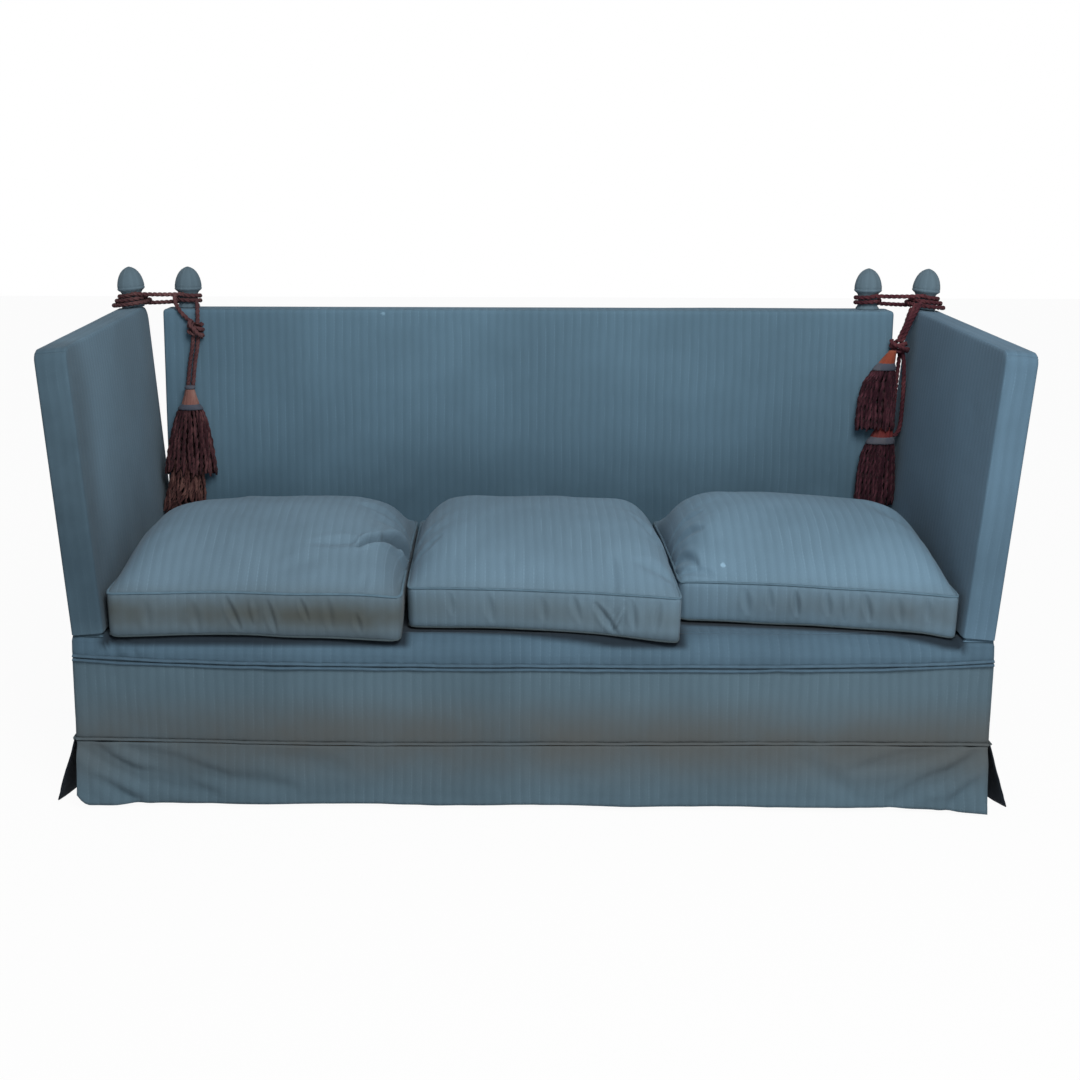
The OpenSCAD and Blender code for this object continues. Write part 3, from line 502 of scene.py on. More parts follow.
# The hanging lengths, as places down each route in millimetres.
for name, body, material, route in (
        ("left_v_outer", "base", rope_mauve,
         ((-857, 326, 1012), (-853, 313, 1000), (-846, 302, 988), (-836, 297, 974),
          (-822, 296, 960), (-806, 292, 946))),
        ("left_v_inner", "base", rope_mauve,
         ((-805, 335, 1000), (-800, 318, 992), (-798, 305, 984), (-797, 298, 974),
          (-797, 297, 960), (-797, 292, 946))),
        ("left_drop_outer", "base", rope_mauve,
         ((-807, 291, 924), (-811, 291, 890), (-818, 291, 850), (-824, 291, 798))),
        ("left_drop_inner", "base", rope_mauve,
         ((-795, 291, 924), (-799, 291, 890), (-806, 291, 850), (-812, 291, 798))),
        ("right_drop_outer", "right_arm", rope_plum,
         ((946, 309, 1003), (940, 299, 996), (930, 292, 980), (918, 290, 955), (908, 290, 930),
          (900, 290, 910))),
        ("right_drop_inner", "right_arm", rope_plum,
         ((934, 318, 995), (929, 306, 988), (918, 292, 970), (905, 290, 945), (896, 290, 924),
          (891, 290, 911))),
        ("right_low_drop", "right_arm", rope_plum,
         ((903, 290, 890), (908, 289, 850), (909, 287, 790), (907, 286, 730), (905, 285, 708),
          (901, 283, 694), (893, 281, 684), (882, 279, 682))),
        ("right_side_drop", "right_arm", rope_plum,
         ((925, 311, 990), (914, 306, 960), (905, 303, 920), (899, 302, 870), (894, 301, 800),
          (891, 299, 740), (889, 296, 700)))):
    free_rope(name, [Vector(p) / 1000 for p in route], body, material, lay="hanging")


# Each pair of hanging ropes passes through an overhand knot, two turns round the pair with the
# end tucked across the front.
def knot(name, centre, body, material, tilt):
    wide, deep, tall = 0.0165, 0.0115, 0.026
    coils = []
    for i in range(40):
        turn = 2 * math.pi * i / 18 + 0.6
        across = wide if i < 30 else wide + 0.001
        coils.append((across * math.cos(turn), deep * math.sin(turn),
                      tall * (0.5 - min(i, 34) / 34)))
    tuck = [(0.015, 0.002, -0.017), (0.010, -0.0160, -0.010), (-0.002, -0.0195, 0.002),
            (-0.013, -0.013, 0.013), (-0.012, 0.002, 0.019)]
    tilted = Matrix.Translation(centre) @ Matrix.Rotation(tilt, 4, "Y")
    paths = [smooth_path([tilted @ Vector(p) for p in line], rope_step)[0]
             for line in (coils, tuck)]
    return seat(name, sweep(name, paths, 0.0058, 3, 0.03), material, body, "rope")


knot("left_knot", (-0.801, 0.290, 0.935), "base", rope_mauve, 0.1)
knot("right_knot", (0.894, 0.290, 0.899), "right_arm", rope_plum, -0.35)


# A tassel hangs from each pair: a fluted wooden mould under a skin of yarn, a wrapped band, and a
# skirt of thick twisted cords. A second, finer skirt hangs below. Measured down each tassel as
# places of middle, half width and half depth, the solids' own.
head_yarn = yarn_material("tassel head yarn", (0.21, 0.10, 0.085), (0.34, 0.20, 0.17), 26, 0.5)
fiery_yarn = yarn_material("orange red head yarn", (0.25, 0.060, 0.035), (0.36, 0.13, 0.08),
                           26, 0.5)
band_yarn = yarn_material("blue grey binding", (0.075, 0.085, 0.115), (0.13, 0.13, 0.15), 1, 0.0012)
skirt_mauve = yarn_material("mauve tassel yarn", (0.040, 0.0145, 0.019), (0.125, 0.053, 0.057),
                            3, 0.016, (8, 8, 0.7))
skirt_brown = yarn_material("brown tassel yarn", (0.060, 0.025, 0.025), (0.160, 0.080, 0.070),
                            3, 0.016, (8, 8, 1.2))
skirt_plum = yarn_material("plum tassel yarn", (0.026, 0.0075, 0.013), (0.088, 0.030, 0.041),
                           3, 0.016, (8, 8, 0.7))
mould_plum = yarn_material("red knot yarn", (0.13, 0.02, 0.022), (0.17, 0.05, 0.045), 26, 0.5)


def girth(places, z):
    """Middle, half width and half depth of a tassel at a height."""
    for (x0, y0, z0, w0, d0), (x1, y1, z1, w1, d1) in zip(places, places[1:]):
        if z0 <= z <= z1:
            t = (z - z0) / (z1 - z0)
            return [a + (b - a) * t for a, b in ((x0, x1), (y0, y1), (w0, w1), (d0, d1))]
    x, y, end, w, d = places[0] if z < places[0][2] else places[-1]
    return [x, y, w, d]


def smooth_mesh(name, bm):
    mesh = bpy.data.meshes.new(name)
    bm.to_mesh(mesh)
    bm.free()
    mesh.polygons.foreach_set("use_smooth", [True] * len(mesh.polygons))
    return mesh


def turned_mould(name, places, low, high, rows, flutes, depth, material, body, swell=0.0):
    """A closed form turned to a tassel's girth between two heights, fluted or ringed."""
    bm = bmesh.new()
    cut = bm.loops.layers.uv.new("UVMap")
    sides = 48
    rings = []
    for j in range(rows + 1):
        z = low + (high - low) * j / rows
        x, y, w, d = girth(places, z)
        puff = 1 + swell * math.sin(math.pi * j / rows)
        ring = bmesh.ops.create_circle(bm, segments=sides, radius=1)["verts"]
        for i, v in enumerate(ring):
            turn = 2 * math.pi * i / sides
            r = puff * (1 - depth * (0.5 - 0.5 * math.cos(flutes * turn)))
            v.co = Vector((x + w * r * math.cos(turn), y + d * r * math.sin(turn), z)) / 1000
        rings.append(ring)
    for below, above in zip(rings, rings[1:]):
        edges = [e for v in below + above for e in v.link_edges
                 if e.other_vert(v) in below or e.other_vert(v) in above]
        bmesh.ops.bridge_loops(bm, edges=list(set(edges)))
    for ring in (rings[0], rings[-1]):
        bmesh.ops.contextual_create(bm, geom=ring)
    for face in bm.faces:
        middle = face.calc_center_median()
        for loop in face.loops:
            x, y, w, d = girth(places, loop.vert.co.z * 1000)
            turn = math.atan2(loop.vert.co.y - y / 1000, loop.vert.co.x - x / 1000)
            mid = math.atan2(middle.y - y / 1000, middle.x - x / 1000)
            turn += 2 * math.pi * round((mid - turn) / (2 * math.pi))
            loop[cut].uv = (turn / (2 * math.pi), loop.vert.co.z)
    bmesh.ops.recalc_face_normals(bm, faces=bm.faces)
    return seat(name, smooth_mesh(name, bm), material, body, "rope")


def fringe(name, places, top, counts, width, wander, body, material, seed, replaces=()):
    """A skirt of twisted cords in rings, each bound at the band and thicker and freer below."""
    pick = random.Random(seed)
    low = places[0][2]
    paths, rows = [], 13
    widths = [0.62 + 0.38 * min(1, 2.4 * k / (rows - 1)) for k in range(rows)]
    for ring, count in enumerate(counts):
        inset = 1 - 0.24 * ring
        for i in range(count):
            turn = 2 * math.pi * (i + 0.5 * ring + pick.uniform(-0.16, 0.16)) / count
            bottom = low + pick.uniform(-2, 9) + 4 * ring
            sway, phase = pick.uniform(-1, 1) * wander, pick.uniform(0, 6.28)
            path = []
            for k in range(rows):
                t = k / (rows - 1)
                z = top + (bottom - top) * t
                x, y, w, d = girth(places, z)
                half_cord = width * widths[k] / 2 if ring == 0 else 0
                swing = turn + sway * t * math.sin(2.5 * t + phase) + wander * 0.35 * math.sin(
                    9 * t + 2 * phase) * t
                path.append(Vector((x + (w - half_cord) * inset * math.cos(swing),
                                    y + (d - half_cord) * inset * math.sin(swing), z)) / 1000)
            paths.append(path)
    widths[-1] = 0.55
    mesh = sweep(name, paths, width / 2000, 2, 0.050, 10, widths)
    return seat(name, mesh, material, body, "rope", replaces)


left_high = [(-820, 274, 580, 68, 29), (-820, 276, 612, 64, 28), (-819, 279, 664, 55, 26),
             (-818, 281, 706, 45, 24), (-818, 282, 738, 34, 22), (-818, 282, 750, 23, 19),
             (-818, 282, 776, 14, 13), (-818, 282, 799, 9, 9)]
left_low = [(-838, 274, 486, 58, 25), (-836, 274, 512, 54, 25), (-832, 275, 548, 48, 23),
            (-826, 276, 620, 36, 18)]
right_high = [(841, 274, 696, 50, 28), (841, 276, 728, 49, 27), (843, 279, 775, 46, 25),
              (849, 281, 815, 41, 22), (859, 282, 842, 29, 19), (863, 282, 856, 21, 17),
              (870, 282, 872, 15, 14), (879, 282, 891, 8, 8)]
right_low = [(847, 274, 510, 52, 25), (849, 274, 540, 50, 25), (850, 275, 590, 48, 24),
             (853, 277, 640, 43, 22), (857, 278, 664, 35, 20), (861, 278, 682, 27, 19),
             (866, 278, 706, 18, 14)]
turned_mould("left_tassel_head", left_high, 750, 797, 10, 14, 0.07, head_yarn, "base", 0.05)
turned_mould("left_tassel_ring", left_high, 790, 799, 4, 1, 0, band_yarn, "base", 0.35)
turned_mould("left_tassel_band", left_high, 741, 754, 6, 1, 0, band_yarn, "base", 0.10)
fringe("left_tassel_skirt", left_high, 745, (21, 18, 12), 11.5, 0.16, "base", skirt_mauve, 3,
       ["left_tassels"])
fringe("left_low_skirt", left_low, 618, (26, 20, 12), 8.5, 0.60, "base", skirt_brown, 5)
turned_mould("right_tassel_head", right_high, 856, 890, 10, 14, 0.07, fiery_yarn, "right_arm", 0.05)
turned_mould("right_tassel_band", right_high, 843, 860, 6, 1, 0, band_yarn, "right_arm", 0.08)
fringe("right_tassel_skirt", right_high, 848, (18, 15, 10), 11, 0.12, "right_arm", skirt_plum, 7)
turned_mould("right_low_head", right_low, 678, 706, 8, 12, 0.14, mould_plum, "right_arm", 0.05)
turned_mould("right_low_band", right_low, 664, 681, 5, 1, 0, band_yarn, "right_arm", 0.06)
fringe("right_low_skirt", right_low, 669, (19, 16, 12), 11, 0.08, "right_arm", skirt_plum, 9)


# The seat's hardwood frame: rails, cross rails, corner blocks and six legs, glued and screwed. It
# is all inside the cloth, in pale beech with its grain along each length.
grain, given, gives = group("beech grain", [("Place", "Vector", (0, 0, 0))],
                            [("Tone", "Float"), ("Height", "Float")])
streaks = speckle(grain, given["Place"], 5.0, 6.0)
pores = speckle(grain, given["Place"], 60.0, 2.0)
grain.links.new(calc(grain, "MULTIPLY_ADD", streaks, 0.5, calc(grain, "MULTIPLY", pores, 0.3)),
                gives["Tone"])
grain.links.new(pores, gives["Height"])


def beech(name, squeeze):
    """Beech with its grain along the axis whose share is small."""
    made = bpy.data.materials.new(name)
    tree = bare_tree(made)
    place = add(tree, "Mapping", {"Vector": add(tree, "TexCoord").outputs["Object"],
                                  "Scale": squeeze}).outputs[0]
    lines = add(tree, "Group", {"Place": place}, node_tree=grain)
    shade = tinted(tree, between(tree, lines.outputs["Tone"], 0.25, 0.6),
                   (0.30, 0.17, 0.08, 1), (0.56, 0.36, 0.19, 1))
    return surfaced(made, {"Base Color": shade, "Roughness": 0.6,
                           "Normal": relief(tree, lines.outputs["Height"], 0.3, 0.0006)})


beech_x = beech("beech along x", (1, 8, 8))
beech_y = beech("beech along y", (8, 1, 8))
beech_z = beech("beech along z", (8, 8, 1))


def refinish(material, *names):
    for name in names:
        node = frame["nodes"][name]
        node.data.materials.clear()
        node.data.materials.append(material)


refinish(beech_x, "front_rail", "back_rail", "back_rails")
refinish(beech_y, "left_side_rail", "right_side_rail", "cross_rails", "left_arm_rails",
         "right_arm_rails")
refinish(beech_z, "corner_blocks", "legs", "back_posts", "left_arm_stiles", "right_arm_stiles")


# The glides nailed under the legs, the coil springs, the hinge pins and the screws are steel. The
# butt hinges are brass that has dulled, screwed to the side rails and to the arms' bottom rails.
def metal(name, colour, dull, rough):
    made = bpy.data.materials.new(name)
    tree = bare_tree(made)
    place = add(tree, "TexCoord").outputs["Object"]
    tint = between(tree, speckle(tree, place, 90, 5), 0.4, 0.7)
    return surfaced(made, {
        "Base Color": tinted(tree, tint, (*colour, 1), (*dull, 1)), "Metallic": 1.0,
        "Roughness": between(tree, speckle(tree, place, 40), 0.3, 0.7, rough, rough + 0.2)})


refinish(metal("dulled brass", (0.62, 0.43, 0.17), (0.30, 0.20, 0.09), 0.3),
         "base_hinge_leaves", "left_arm_hinge_leaves", "right_arm_hinge_leaves")
refinish(metal("plain steel", (0.48, 0.48, 0.49), (0.24, 0.20, 0.17), 0.35), "glides",
         "seat_springs", "hinge_pins", "base_hinge_screws", "left_arm_screws", "right_arm_screws")


# Jute webbing and hessian carry the springs, and cotton wadding fills the seat, back and arms. A
# black lining is tacked under the frame.
def woven(name, colour, pale, thread, strength):
    """A plain weave: threads that pass over and under each other, thread metres apart."""
    made = bpy.data.materials.new(name)
    tree = bare_tree(made)
    place = add(tree, "TexCoord").outputs["Object"]
    weave = add(tree, "TexChecker", {"Vector": place, "Scale": 1 / thread}).outputs["Fac"]
    lint = speckle(tree, place, 240, 4)
    height = calc(tree, "MULTIPLY_ADD", weave, 0.5, lint)
    shade = tinted(tree, between(tree, height, 0.3, 1.1), (*colour, 1), (*pale, 1))
    return surfaced(made, {"Base Color": shade, "Roughness": 0.95, "Specular IOR Level": 0.2,
                           "Normal": relief(tree, height, strength, 0.001)})


refinish(woven("jute weave", (0.26, 0.18, 0.10), (0.45, 0.34, 0.20), 0.004, 0.7), "seat_webbing",
         "back_webbing", "seat_hessian")
refinish(woven("cotton wadding", (0.62, 0.58, 0.50), (0.80, 0.77, 0.70), 0.02, 0.4), "deck_pad",
         "back_padding", "left_arm_padding", "right_arm_padding")
refinish(woven("black lining", (0.012, 0.012, 0.013), (0.03, 0.03, 0.033), 0.0016, 0.5),
         "dust_cover")


# The sofa's own cloth is a dusty blue cotton ticking: a fine herringbone in stripes 20 mm apart,
# with a broken pale thread along each. It has faded, and taken grime low down at the front.
ticking, given, gives = group("blue ticking", [("Cut", "Vector", (0, 0, 0))],
                              [("Tone", "Float"), ("Thread", "Float"), ("Height", "Float")])
stripe_w = 0.0205
part = add(ticking, "SeparateXYZ", {0: given["Cut"]}).outputs
drift = calc(ticking, "MULTIPLY", speckle(ticking, given["Cut"], 4.0, 2.0), 0.012)
stripe = calc(ticking, "DIVIDE", calc(ticking, "ADD", part["X"], drift), stripe_w)
band = calc(ticking, "SINE", calc(ticking, "MULTIPLY", stripe, full_turn))
across = calc(ticking, "SUBTRACT", calc(ticking, "FRACT", stripe), 0.5)
from_line = calc(ticking, "ABSOLUTE", across)
dashes = between(ticking, calc(ticking, "SINE", calc(ticking, "MULTIPLY", part["Y"], 780.0)),
                 -1.0, 1.0, 0.45, 1.0)
worn = between(ticking, speckle(ticking, given["Cut"], 9.0), 0.40, 0.62)
thread = calc(ticking, "MULTIPLY", between(ticking, from_line, 0.035, 0.09, 1.0, 0.0),
              calc(ticking, "MULTIPLY", dashes, worn))
zigzag = calc(ticking, "MULTIPLY", calc(ticking, "PINGPONG", stripe, 0.5), stripe_w)
aslant = calc(ticking, "ADD", part["Y"], zigzag)
twill = calc(ticking, "SINE", calc(ticking, "MULTIPLY", aslant, 2600.0))
slub = speckle(ticking, given["Cut"], 420.0, 3.0)
uneven = calc(ticking, "MULTIPLY_ADD", twill, 0.02,
              calc(ticking, "MULTIPLY_ADD", slub, 0.22, 0.89))
ticking.links.new(calc(ticking, "MULTIPLY_ADD", band, 0.042, uneven), gives["Tone"])
ticking.links.new(thread, gives["Thread"])
ribs = calc(ticking, "MULTIPLY_ADD", band, 0.5, slub)
ticking.links.new(calc(ticking, "MULTIPLY_ADD", twill, 0.3, ribs), gives["Height"])

# A band of heights, thick in its middle, in patches, as far back as a given y, takes another colour.
# On the seat's borders and skirt and on the cushions' fronts it is grime; on the back, the arms and
# the foot of the cushions' boxing it is painted shade.
soiling, given, gives = group("soiling", [
    ("Place", "Vector", (0, 0, 0)), ("Height", "Float", 0.15), ("Spread", "Float", 0.08),
    ("Amount", "Float", 0.5), ("Back", "Float", -0.22)], [("Mask", "Float")])
part = add(soiling, "SeparateXYZ", {0: given["Place"]}).outputs
off_middle = calc(soiling, "ABSOLUTE", calc(soiling, "SUBTRACT", part["Z"], given["Height"]))
away = calc(soiling, "DIVIDE", off_middle, given["Spread"])
patchy = between(soiling, speckle(soiling, given["Place"], 3.5, 4.0), 0.30, 0.62, 0.55, 1.0)
mask = calc(soiling, "MULTIPLY", between(soiling, away, 0.0, 1.0, 1.0, 0.0), patchy)
front = between(soiling, calc(soiling, "SUBTRACT", part["Y"], given["Back"]), -0.14, 0.0, 1.0, 0.0)
soiling.links.new(calc(soiling, "MULTIPLY", calc(soiling, "MULTIPLY", mask, front),
                       given["Amount"]), gives["Mask"])


def cloth(name, colour, *grime_and_shade_bands, tucked=False, speck=None):
    """The ticking in one depth of its dye. Each band is its height, spread, amount, colour and
    how far back it reaches; some bands are grime and some are painted shade. The cushion-shadow
    switch darkens the cloth under the cushions with painted shadow, and speck is the place of a
    small rubbed spot."""
    made = bpy.data.materials.new(name)
    tree = bare_tree(made)
    place = add(tree, "TexCoord").outputs
    weave = add(tree, "Group", {"Cut": place["UV"]}, node_tree=ticking)
    faded = between(tree, speckle(tree, place["Object"], 2.2, 4.0), 0.3, 0.72, 0.90, 1.12)
    tone = calc(tree, "MULTIPLY", weave.outputs["Tone"], faded)
    shade = tinted(tree, 1.0, (*colour, 1), tone, "MULTIPLY")
    pale = [min(1, c * 1.9 + 0.03) for c in colour]
    shade = tinted(tree, calc(tree, "MULTIPLY", weave.outputs["Thread"], 0.17), shade, (*pale, 1))
    # Bands of grime and bands of painted shade, laid on one after another.
    for height, spread, amount, tint, back in grime_and_shade_bands:
        band_mask = add(tree, "Group", {"Place": place["Object"], "Height": height, "Spread": spread,
                                   "Amount": amount, "Back": back}, node_tree=soiling)
        shade = tinted(tree, band_mask.outputs[0], shade, (*tint, 1))
    if speck:
        away = add(tree, "VectorMath", {0: place["Object"], 1: speck}, operation="DISTANCE")
        ragged = calc(tree, "MULTIPLY", speckle(tree, place["Object"], 160), 0.008)
        fray = calc(tree, "ADD", away.outputs[1], ragged)
        shade = tinted(tree, between(tree, fray, 0.0075, 0.0105, 0.75, 0.0), shade, (*pale, 1))
    # Painted shadow: near black where the cushions' fronts overhang the seat.
    if tucked:
        under = add(tree, "Attribute", attribute_name="tucked").outputs["Fac"]
        shade = tinted(tree, calc(tree, "MULTIPLY", under, 0.88), shade, (0.010, 0.014, 0.020, 1))
    return surfaced(made, {
        "Base Color": shade, "Roughness": 0.92, "Sheen Weight": 0.06, "Sheen Roughness": 0.5,
        "Specular IOR Level": 0.12, "Normal": relief(tree, weave.outputs["Height"], 0.35, 0.0007)})


seat_blue = cloth("blue ticking, seat", (0.084, 0.135, 0.172),
                  (0.150, 0.125, 0.75, (0.094, 0.092, 0.083), -0.22))
# Painted shade: the back's band darkens it round its lower half, down to where the cushions meet it.
body_blue = cloth("blue ticking, back", (0.103, 0.181, 0.244),
                  (0.50, 0.20, 0.55, (0.040, 0.078, 0.108), 1.0), speck=(-0.349, 0.308, 0.972))
# Painted shade: each arm's band round its lower half darkens it towards the seat, and the left arm's first band
# darkens its whole front face.
arm_blue = {"left": cloth("blue ticking, left arm", (0.102, 0.173, 0.230),
                          (0.66, 0.80, 0.80, (0.036, 0.060, 0.080), -0.22),
                          (0.48, 0.24, 0.55, (0.036, 0.066, 0.092), 1.0)),
            "right": cloth("blue ticking, right arm", (0.104, 0.182, 0.254),
                           (0.48, 0.24, 0.40, (0.040, 0.072, 0.100), 1.0))}
# The lip's and deck's cloth, with painted shadow under the cushions' fronts.
deck_blue = cloth("blue ticking, lip", (0.072, 0.127, 0.177), tucked=True)
finial_blue = cloth("blue ticking, finials", (0.112, 0.168, 0.208))
# The skirts' lining: a real lining, with its near black as painted shade inside the pleats.
lining = woven("black blue lining", (0.006, 0.009, 0.014), (0.016, 0.022, 0.030), 0.0016, 0.5)


def cloth_grid(columns, rows, place, cut):
    """A panel of cloth: a grid whose points and cut are set from shares across and up it."""
    bm = bmesh.new()
    made = bmesh.ops.create_grid(bm, x_segments=columns, y_segments=rows, size=0.5)["verts"]
    layer = bm.loops.layers.uv.new("UVMap")
    share = {v: (v.co.x + 0.5, v.co.y + 0.5) for v in made}
    for face in bm.faces:
        for loop in face.loops:
            loop[layer].uv = cut(*share[loop.vert])
    for v in made:
        v.co = place(*share[v])
    bm.normal_update()
    return bm


def ruffled(p, size, height, seed):
    """How far a point of cloth stands off its even surface."""
    return height * noise.fractal(Vector(p) / size + Vector((seed, seed * 2, 0)), 1.0, 2.0, 3)


def portion(value):
    """The value, held between none (0) and all (1)."""
    return min(1.0, max(0.0, value))


def finished(name, bm, material, body, replaces=(), thick=0.0, slot="cloth"):
    """Turns the panels into a piece; thick turns a single sheet into cloth with two sides."""
    made = seat(name, smooth_mesh(name, bm), material, body, slot, replaces)
    if thick:
        wall = made.modifiers.new("cloth thickness", "SOLIDIFY")
        wall.thickness, wall.offset = thick, -1
    return made


# The seat's front border is a flat panel sewn under the lip, over a light wadding. Its welts sag
# between the corners: a double one under the lip, and a single one that the skirt hangs from.
half_d, skirt_z = 0.390, 0.150


def lip_welt_z(x):
    return 0.3265 - 0.0165 * (1 - abs(x / half_w) ** 4)


def skirt_welt_z(x):
    return (skirt_z - 0.008 * math.exp(-((x + 0.35) / 0.38) ** 2)
            - 0.003 * math.exp(-((x - 0.2) / 0.3) ** 2))


def front_panel(s, t):
    x = (s - 0.5) * 2 * (half_w - 0.001)
    low, high = skirt_welt_z(x) - 0.002, lip_welt_z(x) + 0.004
    z = low + (high - low) * t
    out = 0.0030 * math.sin(math.pi * t) ** 0.7 * (1 - (2 * s - 1) ** 12)
    pucker = 0.0007 * math.cos(x * 2 * math.pi / 0.032 + 3 * noise.noise(Vector((x * 6, 0, 0)))) * (
        math.exp(-t / 0.12) + math.exp(-(1 - t) / 0.10))
    out += 0.0003 + pucker + ruffled((x, 0, z), 0.11, 0.0016, 1.5)
    return Vector((x, -half_d - out, z))


finished("front_border_cloth", cloth_grid(190, 18, front_panel, lambda s, t: (s * 1.9, t * 0.17)),
         seat_blue, "base", ["front_border"], 0.003)


def piping(name, lines, radius, material, body, slot="cloth", replaces=()):
    """Cloth sewn round a thin cord, along each line."""
    meshed = sweep(name, [smooth_path(line, 0.012)[0] for line in lines], radius, 3, 1e6, 10)
    return seat(name, meshed, material, body, slot, replaces)


def front_welt(rise, height_at, seed):
    return [(x, -half_d - 0.0035 - ruffled((x, 0, rise * 90), 0.09, 0.0010, seed),
             height_at(x) + rise + ruffled((x, 0, rise * 90), 0.07, 0.0014, seed + 4))
            for x in [(-1 + i / 30) * (half_w - 0.001) for i in range(61)]]


piping("lip_double_welt", [front_welt(-0.0042, lip_welt_z, 2), front_welt(0.0042, lip_welt_z, 7)],
       0.0040, deck_blue, "base", replaces=["welts"])
rear_line = [(x, half_d + 0.004, skirt_z) for x in (-half_w, -0.5, 0, 0.5, half_w)]
side_lines = [[(side * (half_w + 0.004), y, skirt_z) for y in (-half_d, -0.2, 0, 0.2, half_d)]
              for side in (-1, 1)]
piping("skirt_welt", [front_welt(0, skirt_welt_z, 3), rear_line] + side_lines, 0.0036, seat_blue,
       "base")


# The soft front lip is rolled over a thick edge of hair and sewn down to the double welt. The
# cushions' fronts press it down between the arms, and its cloth is sewn shut at both ends.
deck_z = 0.3720


def along(line, k):
    """The point k corners along a line of them."""
    i, f = int(k), k - int(k)
    return [a + (b - a) * f for a, b in zip(line[i], line[i + 1])]


def lip_round(s, t):
    x = (s - 0.5) * 2 * half_w
    drop = lip_welt_z(x) - 0.322
    line = ((-0.336, 0.322), (-0.336, 0.3600), (-0.338, 0.3700), (-0.347, 0.3722), (-0.362, 0.3705),
            (-0.3775, 0.3640), (-0.3875, 0.3530), (-0.3915, 0.3400), (-0.3912, 0.3290),
            (-0.3895, 0.3220), (-0.370, 0.3215))
    # Round between the arms and pressed down by the cushions, and squared off under each arm.
    y, z = along(line, min(t * 10, 9.9999))
    under_arm = portion((abs(x) - 0.872) / 0.014)
    pressed = portion((-0.350 - y) / 0.0275) * portion((z - 0.335) / 0.018)
    z -= 0.0055 * pressed * (1 - under_arm)
    if y < -0.345 and z > 0.340:
        round_off = math.hypot(y + 0.3835, z - 0.3630)
        square = (max(y - 0.006 * (z - 0.340) / 0.03, -0.3900),
                  min(0.3716, z + 0.5 * (0.3716 - z)))
        y += (square[0] - y) * under_arm
        z += (square[1] + min(0.004, round_off * 0.2) * (z > 0.36) - z) * under_arm
        z = min(z, deck_z)
    # Its lower edge follows the double welt, and its ends are drawn in a little.
    if z < 0.345:
        z += drop * (0.345 - z) / 0.023
    end = max(0.0, abs(2 * s - 1) - 0.985) / 0.015
    y += (-0.362 - y) * 0.10 * end ** 2
    z += (0.347 - z) * 0.10 * end ** 2
    # Its cloth is uneven, puckered along the lower seam, and slack in three folds by the arms.
    swell = ruffled((x, y * 2, z), 0.075, 0.0022, 5) * math.sin(
        math.pi * portion((t - 0.2) / 0.7))
    swell += 0.0010 * math.cos(x * 2 * math.pi / 0.045 + 4 * noise.noise(Vector((x * 5, 2, 0)))) * (
        math.exp(-((t - 0.86) / 0.06) ** 2))
    for at, slope, deep in ((-0.868, 0.05, 0.0042), (-0.838, 0.09, 0.0030),
                            (0.862, -0.06, 0.0026)):
        near = math.exp(-((x - at - slope * (t - 0.5)) / 0.007) ** 2)
        swell -= deep * near * min(1, 4 * abs(t - 0.3))
    return Vector((x, y - swell, z + swell * 0.6))


bm = cloth_grid(260, 30, lip_round, lambda s, t: (s * 1.9, 0.3 + t * 0.13))
for side in (-1, 1):
    rim = [v for v in bm.verts if v.co.x * side > half_w - 1e-5]
    middle = sum((v.co for v in rim), Vector()) / len(rim)
    around = [e for e in bm.edges if e.verts[0] in rim and e.verts[1] in rim]
    end = bmesh.ops.extrude_edge_only(bm, edges=around)
    inner = [g for g in end["geom"] if isinstance(g, bmesh.types.BMVert)]
    bmesh.ops.pointmerge(bm, verts=inner, merge_co=middle)
    centre = min(bm.verts, key=lambda v: (v.co - middle).length)
    last = bm.faces.new([v for v in rim if v.is_boundary] + [centre])
    for loop in last.loops:
        loop[bm.loops.layers.uv["UVMap"]].uv = (loop.vert.co.y, loop.vert.co.z)
bmesh.ops.recalc_face_normals(bm, faces=bm.faces)


# Where each cushion starts and stops across the seat, and where its front is at either end.
cushion_fronts = ((-0.8825, -0.263, -0.386, -0.402), (-0.263, 0.311, -0.3315, -0.402),
                  (0.311, 0.8825, -0.269, -0.378))


def paint_cushion_shadow(bm):
    """Marks how deep each point of the seat lies in the painted shadow under a cushion's front, from 0 to 1."""
    layer = bm.verts.layers.float.new("tucked")
    for v in bm.verts:
        for start, stop, a, b in cushion_fronts:
            u = portion((v.co.x - start) / (stop - start))
            aside = abs(v.co.x - start - u * (stop - start)) / 0.018
            edge = a + (b - a) * u + 0.018 * (1 - (2 * u - 1) ** 2)
            dark = portion((v.co.y - edge + 0.024) / 0.015) * max(0.0, 1 - aside)
            v[layer] = max(v[layer], dark * portion((v.co.z - 0.347) / 0.009))


# Painted shadow under the cushions' fronts, on the top of the lip.
paint_cushion_shadow(bm)
lip = finished("front_lip_roll", bm, deck_blue, "base", ["front_lip"])
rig.padded(lip, fill=0.7)


# The deck under the cushions is the same cloth over wadding and springs, pulled tight from the
# lip to the back and from arm to arm.
def spaced(low, high, count, edge):
    """Places from low to high, closer together near both ends."""
    near = [0, edge * 0.15, edge * 0.5, edge] if edge else [0]
    inside = [low + edge + (high - low - 2 * edge) * i / count for i in range(1, count)]
    return [low + n for n in near] + inside + [high - n for n in reversed(near)]


